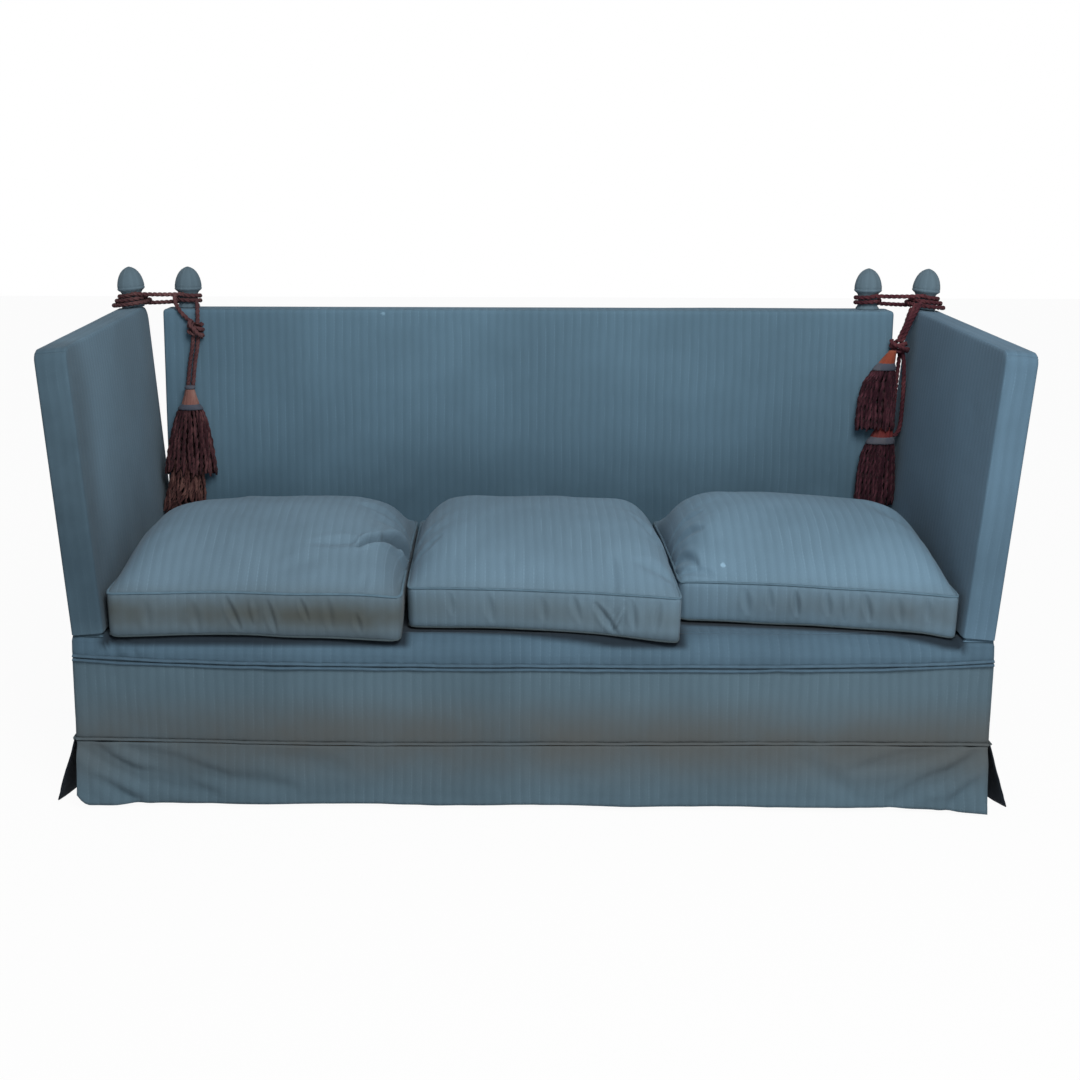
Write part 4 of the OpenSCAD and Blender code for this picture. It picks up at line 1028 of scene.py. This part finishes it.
def sewn_box(low, high, counts, edge):
    """Six panels of cloth sewn into a box, each cut to its true size and numbered."""
    bm = bmesh.new()
    cut = bm.loops.layers.uv.new("UVMap")
    panel = bm.faces.layers.int.new("panel")
    places = [spaced(low[k], high[k], counts[k], edge) for k in range(3)]
    for axis in range(3):
        a, b = [k for k in range(3) if k != axis]
        na, nb = len(places[a]) - 1, len(places[b]) - 1
        for side in (0, 1):
            made = bmesh.ops.create_grid(bm, x_segments=na, y_segments=nb, size=0.5)["verts"]
            for v in made:
                place = [0.0, 0.0, 0.0]
                place[a] = places[a][round((v.co.x + 0.5) * na)]
                place[b] = places[b][round((v.co.y + 0.5) * nb)]
                place[axis] = (low, high)[side][axis]
                v.co = place
            for face in {f for v in made for f in v.link_faces}:
                face[panel] = axis * 2 + side
                for loop in face.loops:
                    loop[cut].uv = (loop.vert.co[a], loop.vert.co[b])
    bmesh.ops.remove_doubles(bm, verts=bm.verts, dist=1e-6)
    bmesh.ops.recalc_face_normals(bm, faces=bm.faces)
    return bm


def soften(bm, low, high, radius):
    """Rounds a sewn box's edges."""
    for v in bm.verts:
        inner = Vector([min(max(c, a + radius), b - radius) for c, a, b in zip(v.co, low, high)])
        away = v.co - inner
        if away.length > radius * 1.0001:
            v.co = inner + away.normalized() * radius


low, high, rounded = (-0.8825, -0.338, 0.3656), (0.8825, 0.3045, deck_z), 0.002
bm = sewn_box(low, high, (110, 64, 1), rounded)
soften(bm, low, high, rounded)
# The same painted shadow under the cushions' fronts, on the deck.
paint_cushion_shadow(bm)
for v in bm.verts:
    if v.co.z > deck_z - 0.002:
        v.co.z -= 0.0012 * (0.5 + noise.noise(v.co * 6))
finished("deck_cloth", bm, deck_blue, "base", ["deck_cover"])


# Side and rear borders wrap the frame below the arms and the back. At the sides the cloth turns in
# over the rail, under the hinges.
def outwards(bm, side):
    """Turns a panel's faces towards its own side of the sofa."""
    if sum((f.normal.x * f.calc_area() for f in bm.faces)) * side < 0:
        bmesh.ops.reverse_faces(bm, faces=bm.faces)


rail_front, rail_rear = -0.3385, 0.386


def side_panel(side):
    line = ((0.886, 0.3664), (0.938, 0.3664), (0.9462, 0.3655), (0.9495, 0.3620), (half_w, 0.3560),
            (half_w, skirt_z))

    def place(s, t):
        y = rail_front + (rail_rear - rail_front) * s
        k = t * 9
        if k < 4:
            x, z = along(line, k)
        else:
            x, z = half_w, 0.3560 - (0.3560 - skirt_z) * (k - 4) / 5
            x += 0.0022 * math.sin(math.pi * (k - 4) / 5) + ruffled((0, y, z), 0.12, 0.0012, 8)
        return Vector((side * x, y, z))
    return place


def low_side_panel(side):
    def place(s, t):
        y = 0.0005 - half_d + 0.0515 * s
        out = ruffled((0, y, t * 0.17), 0.1, 0.0006, 8)
        return Vector((side * (half_w + out), y, skirt_z + 0.1735 * t))
    return place


for side, word in both_sides:
    bm = cloth_grid(64, 36, side_panel(side), lambda s, t: (s * 0.7245, t * 0.27))
    bmesh.ops.recalc_face_normals(bm, faces=bm.faces)
    outwards(bm, side)
    finished(word + "_border_cloth", bm, seat_blue, "base", [word + "_border"], 0.0028)
    bm = cloth_grid(6, 12, low_side_panel(side), lambda s, t: (s * 0.05, t * 0.17))
    outwards(bm, side)
    finished(word + "_border_return", bm, seat_blue, "base", (), 0.0028)


def rear_panel(s, t):
    x, z = (0.5 - s) * 2 * (half_w - 0.0005), skirt_z + 0.2165 * t
    out = 0.0016 * math.sin(math.pi * t) + ruffled((x, 0, z), 0.14, 0.0012, 9)
    return Vector((x, half_d + out, z))


finished("back_border_cloth", cloth_grid(90, 16, rear_panel, lambda s, t: (s * 1.9, t * 0.217)),
         seat_blue, "base", ["back_border"], 0.003)


# The skirt hangs from its welt to just above the floor in four panels with an inverted pleat at
# each corner. It is lined, stitched along the hem, and has slack diagonal folds near the corners.
# The lining is real, and its near black is painted shade for the insides of the pleats.
def fold(x, z, a, b, width):
    """How far a fold from point a to point b moves the cloth at x, z, the other way beside it."""
    dx, dz = b[0] - a[0], b[1] - a[1]
    t = portion(((x - a[0]) * dx + (z - a[1]) * dz) / (dx * dx + dz * dz))
    away = math.hypot(x - a[0] - dx * t, z - a[1] - dz * t) / width
    if away > 5:
        return 0.0
    full = math.sin(math.pi * (0.06 + 0.88 * t)) ** 0.7
    away /= 0.45 + 0.55 * full
    return (math.exp(-away ** 2) - 0.35 * math.exp(-((away - 1.9) / 0.9) ** 2)) * full


# The front skirt's folds: from where to where, how wide, and how far in.
front_folds = [((-0.945, 0.146), (-0.800, 0.048), 0.017, -0.0150),
               ((-0.880, 0.100), (-0.660, 0.034), 0.017, -0.0120),
               ((-0.860, 0.132), (-0.640, 0.070), 0.015, -0.0095),
               ((-0.740, 0.080), (-0.500, 0.050), 0.017, -0.0065),
               ((-0.905, 0.070), (-0.810, 0.006), 0.014, -0.0090),
               ((-0.560, 0.120), (-0.380, 0.085), 0.020, -0.0035),
               ((0.945, 0.146), (0.845, 0.056), 0.014, -0.0125),
               ((0.900, 0.110), (0.750, 0.022), 0.014, -0.0100),
               ((0.925, 0.080), (0.862, 0.006), 0.011, -0.0080),
               ((0.890, 0.144), (0.670, 0.094), 0.014, -0.0065),
               ((0.560, 0.115), (0.690, 0.030), 0.018, -0.0040)]


# How much of each end of a panel flares.
flare_run = 0.17


def skirt_panel(run, top_z, hem_z, folds, waves, corner, seed):
    """A hanging panel drawn along x with its outside towards -y."""
    def place(s, t):
        x = (s - 0.5) * run
        z = top_z(x) - 0.0035 + (hem_z(x) - top_z(x) + 0.0035) * t
        near = [max(0.0, 1 - away * run / flare_run) for away in (s, 1 - s)]
        out = 0.0025 + t * (0.0065 + 0.0032 * math.sin(waves * full_turn * s + seed)
                            + corner[0] * near[0] ** 2 + corner[1] * near[1] ** 2)
        out += sum(h * fold(x, z, a, b, w) for a, b, w, h in folds)
        out += ruffled((x, seed, z), 0.07, 0.0022, seed) * min(1, t * 3)
        out -= 0.0009 * math.exp(-((t - 0.86) / 0.02) ** 2)
        return Vector((x, -max(out, 0.0012), z))
    return place


def front_hem(x):
    round_off = 0.022 * max(0.0, 1 - (x + 0.948) / 0.030) ** 2.2
    return 0.0125 + round_off - 0.006 * max(0, (x - 0.70) / 0.25) ** 1.5 - 0.003 * math.exp(
        -((x + 0.88) / 0.07) ** 2)


def even_top(x):
    return skirt_z


def even_hem(x):
    return 0.0110


def hung(piece, run, grid, shape, turn, shift):
    """Hangs one panel of the skirt, lined in near black that is painted shade, with its outside away from the sofa."""
    bm = cloth_grid(*grid, skirt_panel(run, *shape), lambda s, t: (s * run, -t * skirt_drop))
    bmesh.ops.transform(bm, matrix=Matrix.Translation(shift) @ Matrix.Rotation(turn, 4, "Z"),
                        verts=bm.verts)
    made = finished(piece + "_cloth", bm, lining, "base", [piece], 0.0024)
    made.data.materials.append(seat_blue)
    made.modifiers["cloth thickness"].material_offset = 1
    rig.sheet(made, flat=(run, skirt_drop), held="hung", rests_on=["skirt_welt"])


long_run, short_run, skirt_drop = 1.896, 0.776, 0.14
hung("front_skirt", long_run, (230, 20),
     (skirt_welt_z, front_hem, front_folds, 5, (0.013, 0.014), 1.3), 0, (0, -half_d, 0))
hung("back_skirt", long_run, (150, 16),
     (even_top, even_hem, [], 7, (0.004, 0.004), 4.1), math.pi, (0, half_d, 0))
for side, word in both_sides:
    corner = (0.003, 0.036) if side < 0 else (0.036, 0.003)
    hung(word + "_skirt", short_run, (80, 16),
         (even_top, even_hem, [], 2.4, corner, 2.2 + side), side * math.pi / 2,
         (side * half_w, 0, 0))


# Behind each corner of the skirt a strip of the same cloth closes the pleat. It is folded round
# the corner and sewn in under the welt with the panels.
pleat_run, pleat_drop = 0.172, 0.134


def pleat(side, end):
    line = [(0.862, 0.3885), (0.905, 0.3880), (0.940, 0.3872), (0.9470, 0.3835), (0.9480, 0.376),
            (0.9482, 0.340), (0.9485, 0.302)]

    def place(s, t):
        x, y = along(line, min(s * 6, 5.9999))
        sway = 0.0012 * math.sin(s * 19 + side + end) * t
        return Vector((side * (x + sway), end * (y + sway), 0.146 - pleat_drop * t))
    return place


for side, word in both_sides:
    for end, way in ((-1, "front"), (1, "rear")):
        bm = cloth_grid(36, 10, pleat(side, end), lambda s, t: (s * 0.17, -t * pleat_drop))
        if side * end < 0:
            bmesh.ops.reverse_faces(bm, faces=bm.faces)
        made = finished(f"{word}_{way}_pleat", bm, seat_blue, "base", ["corner_pleats"], 0.0016)
        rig.sheet(made, flat=(pleat_run, pleat_drop), held="folded", rests_on=["skirt_welt"])


# The back is one long pad over webbing on posts and rails. Its cloth is pulled over the
# top and round both sides, and sewn to a separate outside back along a piped seam.
def turned_corner(a, b):
    """Moves a point of a square corner onto a round one; a and b run outward from its middle."""
    if a <= 0 or b <= 0:
        return a, b
    share = max(a, b) / math.hypot(a, b)
    return a * share, b * share


back_half, back_high = 0.8832, 0.982
low, high = (-back_half, 0.305, deck_z + 0.0004), (back_half, 0.3858, back_high)
bm = sewn_box(low, high, (110, 5, 44), 0.010)
soften(bm, (low[0], low[1], low[2] - 0.009), high, 0.009)
for v in bm.verts:
    s, t = v.co.x / back_half, (v.co.z - low[2]) / (high[2] - low[2]) * 2 - 1
    if v.co.y < 0.318:
        v.co.y -= (0.0026 * (1 - s ** 8) * (1 - t ** 6)
                   + ruffled((v.co.x, 0, v.co.z), 0.20, 0.0016, 12))
    elif v.co.z > 0.96:
        v.co.z += ruffled((v.co.x, v.co.y, 0), 0.25, 0.0014, 13)
made = finished("back_cloth", bm, body_blue, "base", ["back_cover"])
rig.padded(made, fill=0.8)
low, high = (-back_half + 0.001, 0.3860, 0.3676), (back_half - 0.001, 0.3898, back_high - 0.001)
corner = 0.02
bm = sewn_box(low, high, (70, 1, 34), 0.0015)
soften(bm, low, high, 0.0015)
for v in bm.verts:
    a, b = turned_corner(abs(v.co.x) - high[0] + corner, v.co.z - high[2] + corner)
    v.co.x, v.co.z = math.copysign(a + high[0] - corner, v.co.x), b + high[2] - corner
    if v.co.y > 0.388:
        v.co.y += ruffled((v.co.x, 0, v.co.z), 0.22, 0.0012, 14)
finished("outside_back_cloth", bm, body_blue, "base", ["outside_back"])

# The outside back's welt runs up one side, over the top and down the other.
edge = back_half - 0.004
bend = ((0, 0.955), (0.0016, 0.9635), (0.006, 0.9715), (0.0135, 0.9768), (0.022, 0.9785))
left_run = [(-edge, 0.370 + 0.0194 * i) for i in range(30)] + [(-edge + a, b) for a, b in bend]
over = [(-edge + 0.04 + (2 * edge - 0.08) * i / 60, 0.9785) for i in range(61)]
run = left_run + over + [(-x, z) for x, z in reversed(left_run)]
piping("outside_back_welt", [[(x, 0.3885, z) for x, z in run]], 0.0026, body_blue, "base")


# Four finials, turned acorns that stand on tenons in the arms and the back, each covered in the
# cloth: a gathered dome, a thin lip, and a wrapped neck and foot.
def finial(name, body, replaces, stands):
    """Turns an acorn and sets it on the matrix that stands gives."""
    bm = bmesh.new()
    line = ((0.0005, -0.001), (0.0262, 0.000), (0.0272, 0.0015), (0.0268, 0.0040),
            (0.0240, 0.0072), (0.0226, 0.0110), (0.0222, 0.0190), (0.0225, 0.0290),
            (0.0236, 0.0345), (0.0262, 0.0390), (0.0300, 0.0420), (0.0322, 0.0440),
            (0.0330, 0.0462), (0.0325, 0.0486), (0.0316, 0.0494), (0.0322, 0.0506),
            (0.0318, 0.0560), (0.0306, 0.0630), (0.0284, 0.0710), (0.0250, 0.0790),
            (0.0204, 0.0862), (0.0146, 0.0922), (0.0080, 0.0964), (0.0025, 0.0985),
            (0.0, 0.0990))
    points = [bm.verts.new((x, 0, z)) for x, z in line]
    edges = [bm.edges.new(pair) for pair in zip(points, points[1:])]
    bmesh.ops.spin(bm, geom=points + edges, cent=(0, 0, 0), axis=(0, 0, 1), dvec=(0, 0, 0),
                   angle=2 * math.pi, steps=64, use_merge=True, use_duplicate=False)
    bmesh.ops.remove_doubles(bm, verts=bm.verts, dist=1e-5)
    bmesh.ops.holes_fill(bm, edges=[e for e in bm.edges if e.is_boundary], sides=80)
    for v in bm.verts:
        turn, r = math.atan2(v.co.y, v.co.x), math.hypot(v.co.x, v.co.y)
        pull = 0.0006 * math.cos(14 * turn + 3 * math.sin(2 * turn)) * min(1, r / 0.012)
        seam = -0.0009 * math.exp(-((abs(turn) - 1.2) / 0.035) ** 2)
        grow = (pull + seam) * (1 if v.co.z > 0.05 or v.co.z < 0.03 else 0.3)
        if r > 0.002:
            v.co.x, v.co.y = v.co.x * (1 + grow / r), v.co.y * (1 + grow / r)
    bmesh.ops.recalc_face_normals(bm, faces=bm.faces)
    layer = bm.loops.layers.uv.new("UVMap")
    for face in bm.faces:
        mid = face.calc_center_median()
        for loop in face.loops:
            turn, about = (math.atan2(p.y, p.x) for p in (loop.vert.co, mid))
            turn += 2 * math.pi * round((about - turn) / (2 * math.pi))
            loop[layer].uv = (turn * 0.03, loop.vert.co.z)
    bmesh.ops.transform(bm, matrix=stands, verts=bm.verts)
    return finished(name, bm, finial_blue, body, replaces)


for side, word in both_sides:
    finial(word + "_back_acorn", "base", [word + "_back_finial"],
           Matrix.Translation((side * back_top[0], back_top[1], back_top[2])))
    finial(word + "_arm_acorn", word + "_arm", [word + "_arm_finial"],
           Matrix.Translation(leaned(arm_top, side)) @ Matrix.Rotation(side * lean, 4, "Y"))


# Each arm is a tall padded panel over a frame, flat outside and lightly crowned inside, with a
# narrow front face. Its top falls towards the front, and it stands on its hinges leaning out.
low, high = (0.884, -half_d, 0.3728), (half_w, half_d, back_high)
for side, word in both_sides:
    bm = sewn_box(low, high, (5, 52, 44), 0.009)
    soften(bm, (low[0], low[1], low[2] - 0.0075), high, 0.0075)
    for v in bm.verts:
        x, y, z = v.co
        s, t = y / half_d, (z - low[2]) / (high[2] - low[2])
        for centre_y, way, radius in ((low[1] + 0.025, -1, 0.025), (high[1] - 0.040, 1, 0.040)):
            b, a = z - (high[2] - radius), (y - centre_y) * way
            a, b = turned_corner(a, b)
            y = centre_y + a * way
            z = high[2] - radius + b
        z -= 0.016 * (half_d - y) / (2 * half_d) * max(0, t) ** 2
        if x < 0.890:
            crown = (1 - s ** 4) * max(0, 1 - (2 * t - 1) ** 4)
            x -= 0.0030 * crown + ruffled((side * 2, y, z), 0.20, 0.0016, 20) * max(0, crown)
        elif x > 0.944:
            x += ruffled((side * 3, y, z), 0.22, 0.0012, 21) * (1 - s ** 8)
        elif y < -0.38:
            y += ruffled((x, side, z), 0.12, 0.0014, 22)
        v.co = leaned((x, y, z), side)
    bmesh.ops.recalc_face_normals(bm, faces=bm.faces)
    made = finished(word + "_arm_cloth", bm, arm_blue[word], word + "_arm", [word + "_arm_cover"])
    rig.padded(made, fill=0.8)


# A strip of the cloth closes the slot between each arm and the seat, over the hinges. It is tacked
# under the arm and to the frame, folded in between, and opens like a bellows as the arm goes down.
slot_x, slot_end, strip_run, strip_bend = 0.8862, 0.386, 0.834, 0.772


def slot_strip(side):
    """The strip runs along the slot to strip_bend, and then round the arm's front."""
    def place(s, t):
        run = s * strip_run
        beside = run < strip_bend
        x, y = (slot_x, slot_end - run) if beside else (slot_x + run - strip_bend, -slot_end)
        top, low = leaned((x, y, 0.3745), side), Vector((side * x, y, 0.3690))
        tuck = 0.004 * math.sin(math.pi * t)
        return top.lerp(low, t) + Vector((side * tuck, 0, 0) if beside else (0, tuck, 0))
    return place


for side, word in both_sides:
    bm = cloth_grid(120, 8, slot_strip(side), lambda s, t: (s * strip_run, t * 0.012))
    if side > 0:
        bmesh.ops.reverse_faces(bm, faces=bm.faces)
    made = finished(word + "_slot_strip", bm, arm_blue[word], None)
    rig.blend(made, word + "_arm", "base", start=(side * slot_x, 0, 0.3785),
             end=(side * slot_x, 0, 0.3700))
    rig.sheet(made, flat=(strip_run, 0.0115), held="folded", rests_on=[word + "_border"])


# Three loose feather cushions with boxed sides and piped seams, filled by simulation with their
# seams held. Their tops crown high and press on each other, and the slack boxing is puckered.
# Each cushion's first band is grime on its front; its second, near black along the foot of the boxing, is painted
# shade.
cushion_blue = {
    word: cloth(f"blue ticking, {word} cushion", colour, (0.418, 0.075, grime, tint, -0.22),
                (0.362, 0.034, 0.80, (0.028, 0.036, 0.042), -0.22),
                speck=(0.409, -0.249, 0.494) if word == "right" else None)
    for word, colour, grime, tint in (
        ("left", (0.130, 0.205, 0.268), 1.0, (0.072, 0.083, 0.079)),
        ("middle", (0.137, 0.222, 0.294), 0.60, (0.085, 0.108, 0.115)),
        ("right", (0.140, 0.232, 0.310), 0.80, (0.076, 0.091, 0.095)))}
piping_blue = {"top": cloth("blue ticking, piping", (0.105, 0.178, 0.234)),
               "under": cloth("blue ticking, lower piping", (0.058, 0.082, 0.094))}
seat_w, seat_d, rear = 1.765, 2 * half_d, 0.303
floor_z, seam_low, seam_high = deck_z + 0.0004, 0.3765, 0.4603


def cushion_box(lane, fronts, gap):
    """A cushion's left and right sides, with a gap to its neighbours, and its foremost point."""
    return seat_w * (lane[0] - 0.5) + gap, seat_w * (lane[1] - 0.5) - gap, min(fronts) * seat_d


def seam_points(bm):
    """The points of a case's top, of its underside and of its boxing."""
    panel = bm.faces.layers.int["panel"]
    return ({v for f in bm.faces if f[panel] in panels for v in f.verts}
            for panels in ((5,), (4,), (0, 1, 2, 3)))


def plumped(cases):
    """Blows up the sewn cases with their seams held, and moves each point by up to its cap."""
    for made, pins, slack, cap in cases:
        made.vertex_groups.new(name="seams").add(sorted(pins), 1.0, "REPLACE")
        loose = made.vertex_groups.new(name="slack")
        for i, weight in enumerate(slack):
            loose.add([i], weight, "REPLACE")
        filling = made.modifiers.new("filling", "CLOTH")
        case = filling.settings
        case.quality, case.mass, case.air_damping = 5, 0.3, 2.0
        case.tension_stiffness, case.compression_stiffness, case.shear_stiffness = 15, 5, 3
        case.bending_stiffness = 0.04
        case.vertex_group_mass, case.vertex_group_shrink = "seams", "slack"
        case.shrink_min, case.shrink_max = 0.0, -0.14
        case.use_pressure, case.uniform_pressure_force = True, 4.0
        case.effector_weights.gravity = 0
        filling.collision_settings.use_collision = False
    for step in range(1, 21):
        scene.frame_set(step)
    for made, pins, slack, cap in cases:
        shape = made.evaluated_get(bpy.context.evaluated_depsgraph_get()).data
        ways = [end.co - v.co for v, end in zip(made.data.vertices, shape.vertices)]
        made.modifiers.remove(made.modifiers["filling"])
        for v, way, most in zip(made.data.vertices, ways, cap):
            v.co += way * (most * math.tanh(way.length / most) / max(way.length, 1e-9))
    scene.frame_set(1)


def cushion_case(word, lane, fronts, crown, dents, seed):
    """Sews a cushion's case: its top, its underside, and the boxing between them, whose corners
    are rounded. Gives it with its seam points, its slack and how far each point may move."""
    x0, x1, lowest = cushion_box(lane, fronts, 0.0033)
    bm = sewn_box((x0, lowest, seam_low), (x1, rear, seam_high), (50, 52, 7), 0)
    top, under, boxing = seam_points(bm)
    cx, wide = (x0 + x1) / 2, (x1 - x0) / 2
    straight, slack, cap = 0.94, [], []
    bm.verts.index_update()
    for v in bm.verts:
        # Its place in the case: u across and w back from the middle, h up from the lower seam.
        u = (v.co.x - cx) / wide
        w = (v.co.y - lowest) / (rear - lowest) * 2 - 1
        h = (v.co.z - seam_low) / (seam_high - seam_low)
        k = max(abs(u), abs(w))
        a, b = turned_corner(abs(u) - straight, abs(w) - straight)
        u = math.copysign(straight + a, u) if abs(u) > straight else u
        w = math.copysign(straight + b, w) if abs(w) > straight else w
        # The front runs aslant and bows out, the sides are a little hollow, and the foot is in.
        foot = 1 - 0.008 * (1 - h) if v in boxing or v in under else 1
        front = seat_d * (fronts[0] + (fronts[1] - fronts[0]) * (u + 1) / 2) + 0.018 * (1 - u * u)
        mid, deep = (front + rear) / 2, (rear - front) / 2
        x = cx + u * wide * (1 - 0.004 * (1 - w * w)) * foot
        y, z = mid + w * deep * foot, v.co.z
        run = x if abs(w) > abs(u) else y
        # The top is crowned, the underside lies on the deck, and the boxing is slack.
        if v in top and v not in boxing:
            fall = 1 - 0.35 * max(0, w) ** 2
            for hit, corner_x in zip(dents, (-seat_w / 2, seat_w / 2)):
                away = math.hypot(x - corner_x, y - rear) / 0.18
                fall *= 1 - hit * math.exp(-away * away)
            z += crown * 0.93 * (1 - abs(u) ** 8) * (1 - abs(w) ** 3.2) * fall
            z += ruffled((x, y, seed), 0.10, 0.005, seed) * min(1, (1 - k) * 8)
            cap.append(0.013)
        elif v in under and v not in boxing:
            z = floor_z + (seam_low - floor_z) * (1 - min(1, (1 - k) / 0.13) ** 2)
            cap.append(0.0006)
        else:
            puff = math.sin(math.pi * h)
            out = 0.002 * puff + 0.0030 * noise.noise(Vector((run * 26, h * 2, seed))) * puff
            out += 0.0024 * noise.noise(Vector((run * 7, 5, seed)))
            z += 0.0030 * noise.noise(Vector((run * 7, h, seed + 2)))
            if abs(w) >= abs(u):
                y += math.copysign(out, w)
            cap.append((0.010 if w < 0 else 0.0015) if abs(w) >= abs(u) else 0.0025)
        patch = noise.noise(Vector((x * 9, y * 5, seed))) * 0.7 + 0.5
        slack.append(portion(patch * (1.0 if v in boxing else 0.6)))
        v.co = (x, y, z)
    pins = {v.index for v in (top | under) & boxing}
    mesh = bpy.data.meshes.new(word + "_cushion_cloth")
    bm.to_mesh(mesh)
    bm.free()
    made = bpy.data.objects.new(word + "_cushion_cloth", mesh)
    scene.collection.objects.link(made)
    return made, pins, slack, cap


def cushion_dressed(word, made, lane, fronts, creases, puckers):
    """Rounds a filled case, creases its top and its front boxing, lets the front of its boxing
    sag over the lip, and pipes its seams."""
    rounding = made.modifiers.new("rounding", "SUBSURF")
    rounding.levels = 2
    rounded = bpy.data.meshes.new_from_object(
        made.evaluated_get(bpy.context.evaluated_depsgraph_get()))
    bpy.data.objects.remove(made)
    bm = bmesh.new()
    bm.from_mesh(rounded)
    top, under, boxing = seam_points(bm)
    x0, x1, lowest = cushion_box(lane, fronts, 0.0012)
    cx = (x0 + x1) / 2
    for v in bm.verts:
        if v in top and v not in boxing:
            for p, q, width, depth in creases:
                v.co += v.normal * (depth * fold(v.co.x, v.co.y, p, q, width))
        elif v in boxing and v not in top and v not in under and v.co.y < lowest + 0.14:
            for p, q, width, depth in puckers:
                v.co.y -= 1.35 * depth * fold(v.co.x, v.co.z, p, q, width)
        v.co = (min(max(v.co.x, x0), x1), min(v.co.y, rear), max(v.co.z, floor_z))
        over = portion((-0.350 - v.co.y) / 0.040)
        v.co.z -= 0.010 * over * over * (3 - 2 * over) * portion((0.450 - v.co.z) / 0.060)
    for level, ring, lift in (("top", top & boxing, 0.0014), ("under", under & boxing, -0.0004)):
        line = sorted((v.co + Vector((0, 0, lift)) for v in ring), key=lambda p: math.atan2(
            (p.y - (rear + lowest) / 2) / (rear - lowest), (p.x - cx) / (x1 - x0)))[::6]
        piping(f"{word}_cushion_{level}_piping", [line + [line[0]]], 0.0030, piping_blue[level],
               word + "_cushion", "cushion_cloth")
    made = finished(word + "_cushion_cloth", bm, cushion_blue[word], word + "_cushion",
                    [word + "_cushion"], slot="cushion_cloth")
    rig.padded(made, fill=0.55)


# Each cushion's share of the seat's width, the depths of its front's two ends, its crown, how far
# its rear corners are dented, its seed, the creases in its top and the puckers in its front boxing.
# A crease or a pucker is its two ends, its width and its depth.
cushions = {
    "left": ((0, 0.351), (-0.495, -0.515), 0.126, (1, 0), 31, [
        ((-0.365, -0.278), (-0.295, -0.205), 0.0085, -0.026),
        ((-0.318, -0.232), (-0.250, -0.090), 0.0095, -0.034),
        ((-0.322, -0.185), (-0.268, -0.075), 0.024, 0.012),
        ((-0.276, -0.230), (-0.290, -0.400), 0.034, -0.010),
        ((-0.46, -0.268), (-0.345, -0.262), 0.012, -0.006),
        ((-0.37, -0.04), (-0.275, 0.02), 0.018, -0.008),
        ((-0.338, -0.345), (-0.359, -0.392), 0.009, -0.002),
        ((-0.52, -0.33), (-0.44, -0.31), 0.016, -0.003),
        ((-0.66, -0.10), (-0.52, -0.20), 0.05, -0.004)], [
        ((-0.631, 0.452), (-0.603, 0.392), 0.0060, -0.0042),
        ((-0.545, 0.446), (-0.529, 0.390), 0.0055, -0.0040),
        ((-0.478, 0.452), (-0.461, 0.412), 0.0050, -0.0034),
        ((-0.352, 0.395), (-0.362, 0.425), 0.0055, -0.0034),
        ((-0.58, 0.448), (-0.572, 0.405), 0.0050, 0.0026),
        ((-0.70, 0.44), (-0.69, 0.39), 0.0080, -0.0022),
        ((-0.42, 0.45), (-0.412, 0.40), 0.0070, -0.0026),
        ((-0.80, 0.445), (-0.79, 0.40), 0.0090, -0.0020)]),
    "middle": ((0.351, 0.676), (-0.425, -0.515), 0.124, (0, 0), 37, [
        ((0.172, -0.375), (0.168, -0.300), 0.010, -0.004),
        ((0.30, -0.20), (0.235, -0.10), 0.020, -0.008),
        ((-0.255, -0.14), (-0.205, -0.10), 0.014, -0.007),
        ((-0.255, -0.22), (-0.20, -0.20), 0.012, -0.005),
        ((0.30, -0.33), (0.22, -0.31), 0.014, -0.005),
        ((-0.05, -0.335), (-0.06, -0.28), 0.012, -0.003)], [
        ((0.132, 0.440), (0.176, 0.385), 0.0065, -0.0052),
        ((0.188, 0.436), (0.166, 0.392), 0.0055, 0.0045),
        ((0.205, 0.450), (0.212, 0.400), 0.0060, -0.0034),
        ((0.085, 0.452), (0.100, 0.405), 0.0065, -0.0028),
        ((-0.09, 0.448), (-0.082, 0.398), 0.0080, -0.0026),
        ((-0.17, 0.450), (-0.165, 0.41), 0.0060, -0.0022),
        ((0.02, 0.446), (0.028, 0.40), 0.0075, -0.0022),
        ((0.262, 0.45), (0.255, 0.40), 0.0060, -0.0030)]),
    "right": ((0.676, 1), (-0.345, -0.485), 0.136, (0, 1), 43, [
        ((0.372, -0.150), (0.322, -0.085), 0.009, -0.007),
        ((0.356, -0.240), (0.320, -0.160), 0.008, -0.008),
        ((0.385, -0.262), (0.320, -0.235), 0.007, -0.006),
        ((0.38, -0.06), (0.325, -0.02), 0.011, -0.005),
        ((0.84, -0.16), (0.76, -0.05), 0.030, -0.008),
        ((0.62, -0.30), (0.60, -0.25), 0.012, -0.003)], [
        ((0.555, 0.450), (0.561, 0.400), 0.0055, -0.0046),
        ((0.696, 0.450), (0.706, 0.398), 0.0055, -0.0042),
        ((0.452, 0.448), (0.460, 0.400), 0.0070, -0.0030),
        ((0.503, 0.452), (0.506, 0.41), 0.0050, -0.0026),
        ((0.618, 0.450), (0.624, 0.405), 0.0060, -0.0030),
        ((0.655, 0.450), (0.658, 0.40), 0.0050, 0.0022),
        ((0.758, 0.448), (0.766, 0.400), 0.0065, -0.0028),
        ((0.815, 0.450), (0.818, 0.41), 0.0060, -0.0024)])}
cases = {word: cushion_case(word, *facts[:5]) for word, facts in cushions.items()}
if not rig.quick():
    plumped(cases.values())
for word, (lane, fronts, crown, dents, seed, creases, puckers) in cushions.items():
    cushion_dressed(word, cases[word][0], lane, fronts, creases, puckers)

with open("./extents.json", "w") as out:
    json.dump({"cad": cad_box, "visual": [list(corner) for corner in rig.bounds()]}, out)
